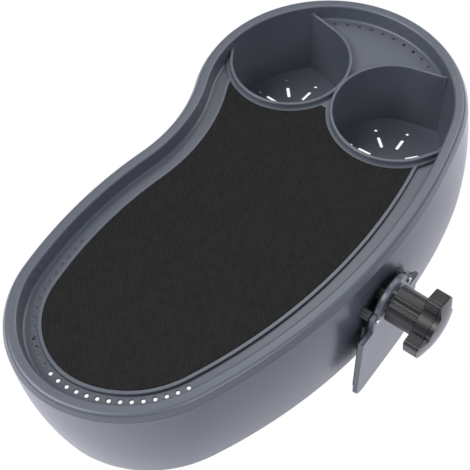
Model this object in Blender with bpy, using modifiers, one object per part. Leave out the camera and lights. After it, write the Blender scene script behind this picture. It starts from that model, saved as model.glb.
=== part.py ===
"""Hot tub tray with two cup wells, a matted deck, a drain gutter and a screw clamp.

Metres, +Z up. The origin is the middle of the flat seat on the tray's front wall, where the
tub's wall is gripped. +X runs along the wall towards the cups, the jaw opens towards -Y.
"""
import math

import bmesh
import bpy
from mathutils import Matrix

# Fits and clearances; a cutter that runs past everything ends at the distance BEYOND
SEAT_GAP = 0.0003
RUN_CLEARANCE = 0.0003
RING_STEPS = 72
WELD_DISTANCE = 0.00002
WALK_STEP = 0.0005
BEYOND = 1.0

# Plan outline of the rim: a chain of arcs round the tray's own datum
LOBE_X = 0.0956
LOBE_Y = 0.0050
LOBE_RADIUS = 0.0969
TAIL_X = -0.1206
TAIL_Y = 0.0119
TAIL_RADIUS = 0.0719
TAIL_FRONT_RADIUS = 0.0927
TAIL_CHANGE = math.radians(191.7)
FRONT_RADIUS = 0.3892
WAIST_RADIUS = 0.1141
WAIST_DIRECTION = math.radians(116.6)
BACK_RADIUS = 0.3004

# Heights above the foot of the outer wall
RIM_TOP = 0.0986
RIM_EDGE = 0.0940
DIVIDER_TOP = 0.0920
DECK_TOP = 0.0880
GUTTER_TOP = 0.0856
WELL_FLOOR = 0.0340

# Rim, gutter and deck, measured inwards from the outline
RIM_WIDTH = 0.0098
RIM_INNER_ROUND = 0.0015
RIM_SKIN = 0.0024
GUTTER_FILLET = 0.0020
GUTTER_WIDTH = 0.0102
DECK_DRAFT = 0.0008
DECK_BORDER = 0.0016
FLOOR_SKIN = 0.0025

# Mat laid in the deck
MAT_THICKNESS = 0.0010
MAT_RECESS = 0.0008
MAT_GAP = 0.0003

# Cup wells
CUP_CENTRE_X = 0.1125
CUP_MIDDLE_Y = 0.0058
CUP_SPACING = 0.0890
DIVIDER_RADIUS = 0.0440
DIVIDER_THICKNESS = 0.0024
DIVIDER_REACH = math.radians(32.3)
DIVIDER_RETURN = math.radians(12.4)
DIVIDER_STRIP = 0.0025
CUP_STEPS = 30
WELL_SKIN = 0.0025
WELL_WALL = 0.0028
WELL_STEP = 0.0003

# Drain holes and slots
DRAIN_RADIUS = 0.0011
DRAIN_SIDES = 6
GUTTER_HOLES = 29
GUTTER_HOLE_PITCH = 0.00695
GUTTER_HOLE_INSET = 0.0165
GUTTER_ROW_MIDDLE = math.radians(163.8)
COMPARTMENT_HOLES = 10
COMPARTMENT_HOLE_PITCH = 0.00955
COMPARTMENT_HOLE_INSET = 0.0148
COMPARTMENT_ROW_MIDDLE = math.radians(1.0)
SLOT_COUNT = 8
SLOT_INNER = 0.0140
SLOT_OUTER = 0.0250
SLOT_WIDTH = 0.0022
SLOT_TURN = math.radians(3.0)
WELL_HOLE_RING = 0.0315

# Outer wall
WALL_THICKNESS = 0.0026
WALL_TONGUE = 0.0020
TONGUE_HEIGHT = 0.0018
FOOT_SPREAD = 0.00233
FOOT_SPREAD_SLOPE = 0.0360
WALL_BULGE = 0.00276
WALL_LEVELS = 7

# Screws that hold the wall to the tray
SCREW_RADIUS = 0.0015
SCREW_HEAD_RADIUS = 0.0032
SCREW_HEAD_HEIGHT = 0.0020
SCREW_LENGTH = 0.0140
POST_RADIUS = 0.0042
POST_INSET = 0.0092
POST_FOOT = 0.0600
LUG_THICKNESS = 0.0030
LUG_WIDTH = 0.0120
# Each post's arc of the outline and how far along that arc it stands
POSTS = ((0, 0.37), (1, 0.40), (2, 0.50), (3, 0.30), (4, 0.20), (5, 0.18), (5, 0.80))

# Clamp: its seat on the wall and its axis
CLAMP_X = -0.0038
SEAT_Y = -0.1051
SEAT_Z = 0.0280
SEAT_WIDTH = 0.0340
SEAT_HEIGHT = 0.0360
SEAT_DEPTH = 0.0080
SEAT_BACK_WIDTH = 0.0520
SEAT_BACK_BOTTOM = 0.0060
CLAMP_AXIS_Z = 0.0674
BOSS_DEPTH = 0.0110
BOSS_WIDTH = 0.0560
BOSS_BOTTOM = 0.0480
BOSS_TOP = 0.0800

# Jaw
JAW_GAP = 0.0043
PAD_THICKNESS = 0.0012
PLATE_THICKNESS = 0.0034
ARCH_RADIUS = 0.0184
NECK_HALF_WIDTH = 0.0222
NECK_TOP = 0.0046
SHOULDER_HALF_WIDTH = 0.0336
SHOULDER_DROP = 0.0108
PLATE_FOOT_DROP = 0.0930
PLATE_CORNER = 0.0090
PLATE_EDGE_ROUND = 0.0008
ARCH_STEPS = 10
PAD_INSET = 0.0012
PAD_FOOT_LIFT = 0.0070

# Guide pins of the jaw
PIN_X = 0.0186
PIN_Z = 0.0010
PIN_RADIUS = 0.0020
PIN_PROUD = 0.0012
PIN_LENGTH = 0.0440
BUSH_WALL = 0.0012
BUSH_END_PROUD = 0.0012

# Bolt, washer, ring, insert and plate
BOLT_RADIUS = 0.0040
BOLT_LENGTH = 0.0700
BOLT_HEAD_ACROSS = 0.0130
BOLT_HEAD_HEIGHT = 0.0053
WASHER_RADIUS = 0.0090
WASHER_THICKNESS = 0.0010
RING_RADIUS = 0.0062
RING_THICKNESS = 0.0009
RING_RECESS = 0.0010
INSERT_RADIUS = 0.0062
INSERT_LENGTH = 0.0080
BACKING_THICKNESS = 0.0020
BACKING_WIDTH = 0.0500
BACKING_HEIGHT = 0.0240

# Knob
HUB_RADIUS = 0.0131
HUB_LENGTH = 0.0197
HUB_BORE_CLEARANCE = 0.0003
GROOVE_DEPTH = 0.0016
GROOVE_HALF_TURN = math.radians(13.0)
GROOVE_TURN = math.radians(118.0)
HEAD_THICKNESS = 0.0095
HEAD_LOBES = 3
LOBE_STEPS = 4
HUB_STEPS = 60
LOBE_REACH = 0.0226
LOBE_HALF_WIDTH = 0.0080
LOBE_ROOT_HALF_WIDTH = 0.0070
HEAD_CORE_RADIUS = 0.0150
LOBE_TURN = math.radians(70.0)
LOBE_CORNER = 0.0030
CAP_RINGS = 5
CAP_DOME = 0.0042
CAP_EDGE = 0.0008

# Worked out from the sizes above
LOBE_CENTRE = (LOBE_X, LOBE_Y)
TAIL_CENTRE = (TAIL_X, TAIL_Y)
DECK_EDGE = RIM_WIDTH + GUTTER_WIDTH
MAT_EDGE = DECK_EDGE + DECK_DRAFT + DECK_BORDER
PAD_FACE_Y = -JAW_GAP
PLATE_BACK_Y = PAD_FACE_Y - PAD_THICKNESS
PLATE_FRONT_Y = PLATE_BACK_Y - PLATE_THICKNESS
AXIS_Z = CLAMP_AXIS_Z - SEAT_Z
CUPS = tuple((CUP_CENTRE_X, CUP_MIDDLE_Y + side * CUP_SPACING / 2, side) for side in (1, -1))

for old in list(bpy.data.objects):
    bpy.data.objects.remove(old, do_unlink=True)
scene = bpy.context.scene
parts = bpy.data.collections.new("hot_tub_tray")
cutters = bpy.data.collections.new("cutters")
scene.collection.children.link(parts)
scene.collection.children.link(cutters)


def material(name, colour, roughness, metallic=0.0):
    made = bpy.data.materials.new(name)
    made.use_nodes = True
    shader = made.node_tree.nodes["Principled BSDF"]
    shader.inputs["Base Color"].default_value = (*colour, 1.0)
    shader.inputs["Roughness"].default_value = roughness
    shader.inputs["Metallic"].default_value = metallic
    return made


def empty(name, place):
    made = bpy.data.objects.new(name, None)
    made.location = place
    parts.objects.link(made)
    return made


# The tray's plan and heights are measured from this point, the clamp's from the seat
tray_datum = empty("tray_datum", (-CLAMP_X, -SEAT_Y, -SEAT_Z))
jaw_axis = empty("jaw_axis", (0, PLATE_FRONT_Y, AXIS_Z))
knob_axis = empty("knob_axis", (0, 0, 0))
knob_axis.parent = jaw_axis


def add(name, mesh_from, parent=None, look=None, place=(0, 0, 0), is_cutter=False):
    """Put a bmesh into a named object; a cutter is only a guide for a Boolean."""
    mesh = bpy.data.meshes.new(name)
    bmesh.ops.recalc_face_normals(mesh_from, faces=mesh_from.faces)
    mesh_from.to_mesh(mesh)
    mesh_from.free()
    made = bpy.data.objects.new(name, mesh)
    made.location = place
    (cutters if is_cutter else parts).objects.link(made)
    if parent is not None:
        made.parent = parent
    if look is not None:
        mesh.materials.append(look)
    if is_cutter:
        made.hide_render = True
        made.display_type = "WIRE"
    return made


def combine(target, other, operation):
    step = target.modifiers.new(other.name, "BOOLEAN")
    step.operation = operation
    step.object = other
    step.solver = "EXACT"


def weld(target):
    step = target.modifiers.new("weld", "WELD")
    step.merge_threshold = WELD_DISTANCE


def smooth(made, angle=40.0):
    made.data.shade_smooth()
    made.data.set_sharp_from_angle(angle=math.radians(angle))


# Outline

def polar(centre, radius, angle):
    return (centre[0] + radius * math.cos(angle), centre[1] + radius * math.sin(angle))


def bearing(a, b):
    return math.atan2(b[1] - a[1], b[0] - a[0])


def meet(a, distance_a, b, distance_b, side):
    """The point at the given distances from a and b, left (1) or right (-1) of the way to b."""
    apart = math.dist(a, b)
    along = (distance_a ** 2 - distance_b ** 2 + apart ** 2) / (2 * apart)
    across = side * math.sqrt(distance_a ** 2 - along ** 2)
    ux, uy = (b[0] - a[0]) / apart, (b[1] - a[1]) / apart
    return (a[0] + ux * along - uy * across, a[1] + uy * along + ux * across)


def outline_arcs():
    """The six tangent arcs, anticlockwise from the front end of the lobe.

    Each is a centre, a radius, its start and sweep, and 1 where the outline bulges or -1 at
    the waist.
    """
    waist = polar(LOBE_CENTRE, LOBE_RADIUS + WAIST_RADIUS, WAIST_DIRECTION)
    back = meet(waist, BACK_RADIUS + WAIST_RADIUS, TAIL_CENTRE, BACK_RADIUS - TAIL_RADIUS, 1)
    tail_front = polar(TAIL_CENTRE, TAIL_RADIUS - TAIL_FRONT_RADIUS, TAIL_CHANGE)
    front = meet(LOBE_CENTRE, FRONT_RADIUS - LOBE_RADIUS,
                 tail_front, FRONT_RADIUS - TAIL_FRONT_RADIUS, -1)
    lobe_start = bearing(front, LOBE_CENTRE)
    arcs = [(LOBE_CENTRE, LOBE_RADIUS, lobe_start, WAIST_DIRECTION, 1)]
    arcs.append((waist, WAIST_RADIUS, WAIST_DIRECTION - math.pi, bearing(waist, back), -1))
    arcs.append((back, BACK_RADIUS, bearing(back, waist), bearing(back, TAIL_CENTRE), 1))
    arcs.append((TAIL_CENTRE, TAIL_RADIUS, bearing(back, TAIL_CENTRE), TAIL_CHANGE, 1))
    arcs.append((tail_front, TAIL_FRONT_RADIUS, TAIL_CHANGE, bearing(front, tail_front), 1))
    arcs.append((front, FRONT_RADIUS, bearing(front, tail_front), lobe_start, 1))
    full = 2 * math.pi
    return [(c, r, a, ((b - a) * s) % full * s, s) for c, r, a, b, s in arcs]


ARCS = outline_arcs()


def outline_stations(steps):
    """Points on the rim's outline with their outward directions, denser where it is tight."""
    weights = [abs(sweep) * math.sqrt(radius) for _, radius, _, sweep, _ in ARCS]
    total = sum(weights)
    stations = []
    for (centre, radius, start, sweep, sign), weight in zip(ARCS, weights):
        count = max(3, round(steps * weight / total))
        for i in range(count):
            angle = start + sweep * i / count
            stations.append((centre, radius, angle, sign))
    return stations


STATIONS = outline_stations(RING_STEPS)


def ring(inset):
    """The outline moved inwards by a fixed distance."""
    return [polar(c, r - s * inset, a) for c, r, a, s in STATIONS]


def spread_ring(grow):
    """The outline moved outwards by a distance that depends on x along the tray."""
    points = []
    for centre, radius, angle, sign in STATIONS:
        x = centre[0] + radius * math.cos(angle)
        points.append(polar(centre, radius + sign * grow(x), angle))
    return points


def loft(rings, closed=True):
    """Bridge rings of equal counts; closed joins the last to the first, else both are capped."""
    made = bmesh.new()
    loops = [[made.verts.new((x, y, z)) for x, y in points] for points, z in rings]
    pairs = list(zip(loops, loops[1:])) + ([(loops[-1], loops[0])] if closed else [])
    for low, high in pairs:
        for i in range(len(low)):
            j = (i + 1) % len(low)
            made.faces.new((low[i], low[j], high[j], high[i]))
    if not closed:
        made.faces.new(loops[0][::-1])
        made.faces.new(loops[-1])
    return made


def prism(points, bottom, top):
    return loft([(points, bottom), (points, top)], closed=False)


def disc(centre, radius, sides, turn=0.0):
    return [polar(centre, radius, turn + 2 * math.pi * i / sides) for i in range(sides)]


def merge(*meshes):
    """Several separate closed shapes in one bmesh, for a cutter or a group of like pieces."""
    whole = bmesh.new()
    for one in meshes:
        mesh = bpy.data.meshes.new("merge")
        one.to_mesh(mesh)
        one.free()
        whole.from_mesh(mesh)
        bpy.data.meshes.remove(mesh)
    return whole


def cylinder(radius, length, sides=24, axis="Z", centre=(0, 0, 0)):
    """A closed cylinder whose middle is at centre."""
    made = bmesh.new()
    bmesh.ops.create_cone(made, cap_ends=True, segments=sides, radius1=radius, radius2=radius,
                          depth=length)
    if axis == "Y":
        bmesh.ops.rotate(made, verts=made.verts, matrix=Matrix.Rotation(math.pi / 2, 3, "X"))
    bmesh.ops.translate(made, verts=made.verts, vec=centre)
    return made


def box(low, high):
    made = bmesh.new()
    bmesh.ops.create_cube(made, size=1.0)
    size = [h - l for l, h in zip(low, high)]
    bmesh.ops.scale(made, verts=made.verts, vec=size)
    bmesh.ops.translate(made, verts=made.verts, vec=[(l + h) / 2 for l, h in zip(low, high)])
    return made


ABS_BLUE_GREY = material("abs_blue_grey", (0.115, 0.130, 0.165), 0.40)
MAT_BLACK = material("mat_black", (0.012, 0.012, 0.013), 0.85)
RUBBER_BLACK = material("rubber_black", (0.010, 0.010, 0.010), 0.75)
KNOB_BLACK = material("knob_black", (0.013, 0.013, 0.014), 0.35)
CAP_BLACK = material("cap_gloss_black", (0.020, 0.020, 0.022), 0.18)
STEEL = material("zinc_steel", (0.55, 0.56, 0.58), 0.30, 1.0)
BRASS = material("brass", (0.70, 0.50, 0.22), 0.30, 1.0)
NYLON = material("nylon_grey", (0.12, 0.13, 0.16), 0.45)


# Inner tray

def well_outline(cup, radius):
    """A well's arc, with its straight tangents run on past the outer wall."""
    x, y, side = cup
    start = -side * DIVIDER_RETURN
    sweep = -side * (math.pi + DIVIDER_REACH + DIVIDER_RETURN)
    points = [polar((x, y), radius, start + sweep * i / CUP_STEPS) for i in range(CUP_STEPS + 1)]
    first, last = points[0], points[-1]
    run = LOBE_RADIUS
    into = start + side * math.pi / 2
    out = start + sweep - side * math.pi / 2
    points.append(polar(last, run, out))
    points.insert(0, polar(first, run, into))
    return points


def rim_profile():
    """Inset and height from the rim's outer edge, over the top and down to the gutter."""
    roundover = RIM_TOP - RIM_EDGE
    points = []
    for i in range(5):
        a = math.pi / 2 * i / 4
        points.append((roundover * (1 - math.cos(a)), RIM_EDGE + roundover * math.sin(a)))
    for i in range(3):
        a = math.pi / 2 * i / 2
        points.append((RIM_WIDTH - RIM_INNER_ROUND * (1 - math.sin(a)),
                       RIM_TOP - RIM_INNER_ROUND * (1 - math.cos(a))))
    for i in range(3):
        a = math.pi / 2 * i / 2
        points.append((RIM_WIDTH + GUTTER_FILLET * (1 - math.cos(a)),
                       GUTTER_TOP + GUTTER_FILLET * (1 - math.sin(a))))
    return points


def build_inner_tray():
    under = [(DECK_EDGE, GUTTER_TOP - FLOOR_SKIN), (RIM_WIDTH - RIM_SKIN, GUTTER_TOP - FLOOR_SKIN),
             (RIM_WIDTH - RIM_SKIN, RIM_TOP - RIM_SKIN), (RIM_SKIN, RIM_TOP - RIM_SKIN),
             (RIM_SKIN, RIM_EDGE)]
    shape = loft([(ring(DECK_EDGE), GUTTER_TOP)][::-1]
                 + [(ring(e), z) for e, z in rim_profile()[::-1]]
                 + [(ring(e), z) for e, z in under[::-1]], closed=False)
    tray = add("inner_tray", shape, tray_datum, ABS_BLUE_GREY)
    inside = RIM_WIDTH - WELL_WALL

    deck = prism(ring(DECK_EDGE), GUTTER_TOP - FLOOR_SKIN / 2, DECK_TOP)
    deck_tool = add("deck_tool", deck, tray_datum, is_cutter=True)
    strip = DIVIDER_RADIUS + DIVIDER_THICKNESS / 2 + DIVIDER_STRIP
    for index, (x, y, _) in enumerate(CUPS):
        low = GUTTER_TOP - FLOOR_SKIN / 2
        round_tool = prism(disc((x, y), strip, CUP_STEPS * 2), low, DECK_TOP)
        combine(deck_tool, add(f"strip_tool_{index}", round_tool, tray_datum, is_cutter=True),
                "UNION")
    keep = box((-BEYOND, -BEYOND, 0), (CUP_CENTRE_X, BEYOND, BEYOND))
    combine(deck_tool, add("deck_end_tool", keep, tray_datum, is_cutter=True), "INTERSECT")
    bounds = prism(ring(inside + WELL_STEP), 0, BEYOND)
    combine(deck_tool, add("deck_wall_tool", bounds, tray_datum, is_cutter=True), "INTERSECT")
    combine(tray, deck_tool, "UNION")

    outer = DIVIDER_RADIUS + DIVIDER_THICKNESS / 2
    inner = DIVIDER_RADIUS - DIVIDER_THICKNESS / 2
    shells = [add(f"well_shell_{index}",
                  prism(well_outline(cup, outer), WELL_FLOOR - WELL_SKIN, DIVIDER_TOP),
                  tray_datum, is_cutter=True) for index, cup in enumerate(CUPS)]
    combine(shells[0], shells[1], "UNION")
    wall = prism(ring(inside), 0, BEYOND)
    combine(shells[0], add("well_wall", wall, tray_datum, is_cutter=True), "INTERSECT")
    combine(tray, shells[0], "UNION")
    for index, cup in enumerate(CUPS):
        hollow = prism(well_outline(cup, inner), WELL_FLOOR, BEYOND)
        hollow_tool = add(f"well_hollow_{index}", hollow, tray_datum, is_cutter=True)
        wall = prism(ring(RIM_WIDTH - WELL_STEP), 0, BEYOND)
        combine(hollow_tool, add(f"well_bound_{index}", wall, tray_datum, is_cutter=True),
                "INTERSECT")
        combine(tray, hollow_tool, "DIFFERENCE")

    recess = prism(ring(MAT_EDGE), DECK_TOP - MAT_RECESS, BEYOND)
    recess_tool = add("mat_recess_tool", recess, tray_datum, is_cutter=True)
    for index, (x, y, _) in enumerate(CUPS):
        round_tool = prism(disc((x, y), strip, CUP_STEPS * 2), 0, 2 * BEYOND)
        combine(recess_tool, add(f"mat_round_{index}", round_tool, tray_datum, is_cutter=True),
                "DIFFERENCE")
    end = box((-BEYOND, -BEYOND, 0),
              (CUP_CENTRE_X - DIVIDER_RADIUS / 2, BEYOND, 2 * BEYOND))
    combine(recess_tool, add("mat_end_tool", end, tray_datum, is_cutter=True), "INTERSECT")
    combine(tray, recess_tool, "DIFFERENCE")

    posts = [cylinder(POST_RADIUS, GUTTER_TOP - FLOOR_SKIN / 2 - POST_FOOT, 12,
                      centre=(x, y, (GUTTER_TOP - FLOOR_SKIN / 2 + POST_FOOT) / 2))
             for x, y, _ in post_places()]
    combine(tray, add("post_tool", merge(*posts), tray_datum, is_cutter=True), "UNION")
    combine(tray, add("drain_tool", merge(*drain_holes()), tray_datum, is_cutter=True),
            "DIFFERENCE")
    weld(tray)
    smooth(tray)
    return tray


def post_places():
    """Middle of each screw post and the direction from it to the wall."""
    places = []
    for index, share in POSTS:
        centre, radius, start, sweep, sign = ARCS[index]
        angle = start + sweep * share
        outward = angle if sign > 0 else angle + math.pi
        places.append((*polar(centre, radius - sign * POST_INSET, angle), outward))
    return places


def walk(inset, middle_centre, middle_angle, count, pitch):
    """Evenly spaced points along the outline at an inset, centred on a bearing."""
    fine = []
    for centre, radius, start, sweep, sign in ARCS:
        steps = max(2, int(abs(sweep) * radius / WALK_STEP))
        fine += [polar(centre, radius - sign * inset, start + sweep * i / steps)
                 for i in range(steps)]
    away = [abs(math.remainder(bearing(middle_centre, p) - middle_angle, 2 * math.pi))
            for p in fine]
    nearest = away.index(min(away))
    lengths = [0.0]
    order = fine[nearest:] + fine[:nearest]
    for a, b in zip(order, order[1:] + order[:1]):
        lengths.append(lengths[-1] + math.dist(a, b))
    total = lengths[-1]
    found = []
    for i in range(count):
        wanted = ((i - (count - 1) / 2) * pitch) % total
        index = min(range(len(order)), key=lambda k: abs(lengths[k] - wanted))
        found.append(order[index])
    return found


def drain_holes():
    """Cutters for the two rows of round holes and for each well's slots and holes."""
    length = 4 * FLOOR_SKIN
    holes = []
    rows = walk(GUTTER_HOLE_INSET, TAIL_CENTRE, GUTTER_ROW_MIDDLE, GUTTER_HOLES,
                GUTTER_HOLE_PITCH)
    rows += walk(COMPARTMENT_HOLE_INSET, LOBE_CENTRE, COMPARTMENT_ROW_MIDDLE,
                 COMPARTMENT_HOLES, COMPARTMENT_HOLE_PITCH)
    for x, y in rows:
        holes.append(cylinder(DRAIN_RADIUS, length, DRAIN_SIDES, centre=(x, y, GUTTER_TOP)))
    half = SLOT_WIDTH / 2
    for cx, cy, side in CUPS:
        for i in range(SLOT_COUNT):
            angle = -side * SLOT_TURN + 2 * math.pi * i / SLOT_COUNT
            x, y = polar((cx, cy), WELL_HOLE_RING, angle)
            holes.append(cylinder(DRAIN_RADIUS, length, DRAIN_SIDES, centre=(x, y, WELL_FLOOR)))
            ends = [polar((SLOT_OUTER - half, 0), half, math.radians(b)) for b in (-60, 0, 60)]
            ends += [polar((SLOT_INNER + half, 0), half, math.radians(b)) for b in (120, 180, 240)]
            turned = [(cx + px * math.cos(angle) - py * math.sin(angle),
                       cy + px * math.sin(angle) + py * math.cos(angle)) for px, py in ends]
            holes.append(prism(turned, WELL_FLOOR - length / 2, WELL_FLOOR + length / 2))
    for x, y, _ in post_places():
        holes.append(cylinder(SCREW_RADIUS + RUN_CLEARANCE, SCREW_LENGTH + SEAT_GAP, 10,
                              centre=(x, y, POST_FOOT - LUG_THICKNESS
                                      + (SCREW_LENGTH + SEAT_GAP) / 2)))
    return holes


# Outer shell

def wall_spread(x, height):
    """How far the outer wall stands out from the rim's outline at a height above its foot."""
    up = height / RIM_EDGE
    foot = FOOT_SPREAD + FOOT_SPREAD_SLOPE * x
    return foot * (1 - up) + 4 * WALL_BULGE * up * (1 - up)


def build_outer_shell():
    top = RIM_EDGE - SEAT_GAP
    levels = [top * i / (WALL_LEVELS - 1) for i in range(WALL_LEVELS)]
    outside = [(spread_ring(lambda x, z=z: wall_spread(x, z)), z) for z in levels]
    inside = [(spread_ring(lambda x, z=z: wall_spread(x, z) - WALL_THICKNESS), z)
              for z in levels[::2]]
    tongue_outer = RIM_SKIN + SEAT_GAP
    tongue_inner = tongue_outer + WALL_TONGUE
    tongue = [(ring(tongue_outer), top), (ring(tongue_outer), top + TONGUE_HEIGHT),
              (ring(tongue_inner), top + TONGUE_HEIGHT), (ring(tongue_inner), top - WALL_TONGUE)]
    shape = loft(outside + tongue + inside[:-1][::-1])
    shell = add("outer_shell", shape, tray_datum, ABS_BLUE_GREY)

    boss = box((CLAMP_X - BOSS_WIDTH / 2, SEAT_Y - WALL_BULGE, BOSS_BOTTOM),
               (CLAMP_X + BOSS_WIDTH / 2, SEAT_Y + BOSS_DEPTH, BOSS_TOP))
    backing = box((CLAMP_X - SEAT_BACK_WIDTH / 2, SEAT_Y - WALL_BULGE, SEAT_BACK_BOTTOM),
                  (CLAMP_X + SEAT_BACK_WIDTH / 2, SEAT_Y + SEAT_DEPTH, BOSS_BOTTOM + SEAT_GAP))
    lugs = []
    lug_top = POST_FOOT - SEAT_GAP
    for x, y, angle in post_places():
        reach = POST_INSET + wall_spread(x, lug_top) + WALL_THICKNESS
        lug = box((-POST_RADIUS, -LUG_WIDTH / 2, lug_top - LUG_THICKNESS),
                  (reach, LUG_WIDTH / 2, lug_top))
        bmesh.ops.rotate(lug, verts=lug.verts, matrix=Matrix.Rotation(angle, 3, "Z"))
        bmesh.ops.translate(lug, verts=lug.verts, vec=(x, y, 0))
        lugs.append(lug)
    for name, inner in (("boss", boss), ("backing", backing), ("lug", merge(*lugs))):
        tool = add(f"{name}_tool", inner, tray_datum, is_cutter=True)
        core = loft([(spread_ring(lambda x, z=z: wall_spread(x, z) - WALL_THICKNESS / 2), z)
                     for z in levels], closed=False)
        combine(tool, add(f"{name}_core", core, tray_datum, is_cutter=True), "INTERSECT")
        combine(shell, tool, "UNION")
    seat_low = (CLAMP_X - SEAT_WIDTH / 2, SEAT_Z - SEAT_HEIGHT / 2)
    seat_high = (CLAMP_X + SEAT_WIDTH / 2, SEAT_Z + SEAT_HEIGHT / 2)
    land = box((seat_low[0], SEAT_Y, seat_low[1]),
               (seat_high[0], SEAT_Y + SEAT_DEPTH - SEAT_GAP, seat_high[1]))
    combine(shell, add("seat_tool", land, tray_datum, is_cutter=True), "UNION")
    clear = box((seat_low[0], SEAT_Y - SEAT_DEPTH, seat_low[1]),
                (seat_high[0], SEAT_Y, seat_high[1]))
    combine(shell, add("seat_clear_tool", clear, tray_datum, is_cutter=True), "DIFFERENCE")

    bores = [cylinder(SCREW_RADIUS + RUN_CLEARANCE, 3 * LUG_THICKNESS, 10,
                      centre=(x, y, lug_top)) for x, y, _ in post_places()]
    middle = SEAT_Y + BOSS_DEPTH / 2
    through = 4 * BOSS_DEPTH
    bores.append(cylinder(BOLT_RADIUS + RUN_CLEARANCE, through, 24, "Y",
                          (CLAMP_X, middle, CLAMP_AXIS_Z)))
    insert_depth = INSERT_LENGTH + SEAT_GAP
    bores.append(cylinder(INSERT_RADIUS + SEAT_GAP, insert_depth, 24, "Y",
                          (CLAMP_X, SEAT_Y + BOSS_DEPTH - insert_depth / 2 + SEAT_GAP,
                           CLAMP_AXIS_Z)))
    for side in (-1, 1):
        bores.append(cylinder(PIN_RADIUS + BUSH_WALL + 2 * SEAT_GAP, through, 16, "Y",
                              (CLAMP_X + side * PIN_X, middle, CLAMP_AXIS_Z + PIN_Z)))
    for index, bore in enumerate(bores):
        combine(shell, add(f"bore_{index}", bore, tray_datum, is_cutter=True), "DIFFERENCE")
    smooth(shell)
    return shell


# Mat

def build_deck_mat():
    low = DECK_TOP - MAT_RECESS + SEAT_GAP
    mat = add("deck_mat", prism(ring(MAT_EDGE + MAT_GAP), low, low + MAT_THICKNESS), tray_datum,
              MAT_BLACK)
    clear = DIVIDER_RADIUS + DIVIDER_THICKNESS / 2 + DIVIDER_STRIP + MAT_GAP
    for index, (x, y, _) in enumerate(CUPS):
        hole = prism(disc((x, y), clear, CUP_STEPS * 2), 0, BEYOND)
        combine(mat, add(f"mat_cup_{index}", hole, tray_datum, is_cutter=True), "DIFFERENCE")
    end = box((-BEYOND, -BEYOND, 0),
              (CUP_CENTRE_X - DIVIDER_RADIUS / 2 - MAT_GAP, BEYOND, BEYOND))
    combine(mat, add("mat_cut", end, tray_datum, is_cutter=True), "INTERSECT")
    smooth(mat)
    return mat


# Screws

def screw(x, y):
    """A pan-headed screw that comes up through a lug into its post."""
    under = POST_FOOT - SEAT_GAP - LUG_THICKNESS - SEAT_GAP
    head = cylinder(SCREW_HEAD_RADIUS, SCREW_HEAD_HEIGHT, 14,
                    centre=(x, y, under - SCREW_HEAD_HEIGHT / 2))
    top = max(head.faces, key=lambda face: face.calc_center_median().z)
    bmesh.ops.inset_region(head, faces=[top], thickness=SCREW_HEAD_RADIUS - SCREW_RADIUS)
    moved = bmesh.ops.extrude_face_region(head, geom=[top])
    ends = [v for v in moved["geom"] if isinstance(v, bmesh.types.BMVert)]
    bmesh.ops.translate(head, verts=ends, vec=(0, 0, SCREW_LENGTH - SCREW_HEAD_HEIGHT))
    bmesh.ops.delete(head, geom=[top], context="FACES_ONLY")
    return head


def build_shell_screws():
    for number, (x, y, _) in enumerate(post_places(), start=1):
        smooth(add(f"shell_screw_{number}", screw(x, y), tray_datum, STEEL))


# Clamp hardware in the wall

def ring_body(outer, inner, length, sides=24):
    """A tube along Y from 0 to its length, as a turned profile."""
    made = bmesh.new()
    corners = [(outer, 0), (outer, length), (inner, length), (inner, 0)]
    loops = []
    for i in range(sides):
        a = 2 * math.pi * i / sides
        loops.append([made.verts.new((r * math.cos(a), y, r * math.sin(a))) for r, y in corners])
    for i in range(sides):
        here, then = loops[i], loops[(i + 1) % sides]
        for k in range(4):
            made.faces.new((here[k], here[(k + 1) % 4], then[(k + 1) % 4], then[k]))
    return made


def build_thread_insert():
    shape = ring_body(INSERT_RADIUS, BOLT_RADIUS + RUN_CLEARANCE, INSERT_LENGTH - SEAT_GAP)
    made = add("thread_insert", shape, None, BRASS,
               (0, BOSS_DEPTH - INSERT_LENGTH, AXIS_Z))
    smooth(made)
    return made


def build_guide_bushes():
    for name, side in (("guide_bush_left", -1), ("guide_bush_right", 1)):
        length = BOSS_DEPTH + BUSH_END_PROUD + JAW_GAP - RUN_CLEARANCE
        body = ring_body(PIN_RADIUS + RUN_CLEARANCE + BUSH_WALL, PIN_RADIUS + RUN_CLEARANCE,
                         length, 16)
        made = add(name, body, None, NYLON,
                   (side * PIN_X, RUN_CLEARANCE - JAW_GAP, AXIS_Z + PIN_Z))
        smooth(made)


def build_reinforcing_plate():
    half_x, half_z = BACKING_WIDTH / 2, BACKING_HEIGHT / 2
    start = BOSS_DEPTH + SEAT_GAP
    plate = add("reinforcing_plate", box((-half_x, start, AXIS_Z - half_z),
                                         (half_x, start + BACKING_THICKNESS, AXIS_Z + half_z)),
                None, STEEL)
    through = 4 * BACKING_THICKNESS
    hole = cylinder(BOLT_RADIUS + 2 * RUN_CLEARANCE, through, 24, "Y", (0, start, AXIS_Z))
    combine(plate, add("plate_bore", hole, None, is_cutter=True), "DIFFERENCE")
    for side in (-1, 1):
        hole = cylinder(PIN_RADIUS + BUSH_WALL + 2 * RUN_CLEARANCE, through, 16, "Y",
                        (side * PIN_X, start, AXIS_Z + PIN_Z))
        combine(plate, add(f"plate_pin_{side + 1}", hole, None, is_cutter=True), "DIFFERENCE")
    return plate


# Jaw

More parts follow.
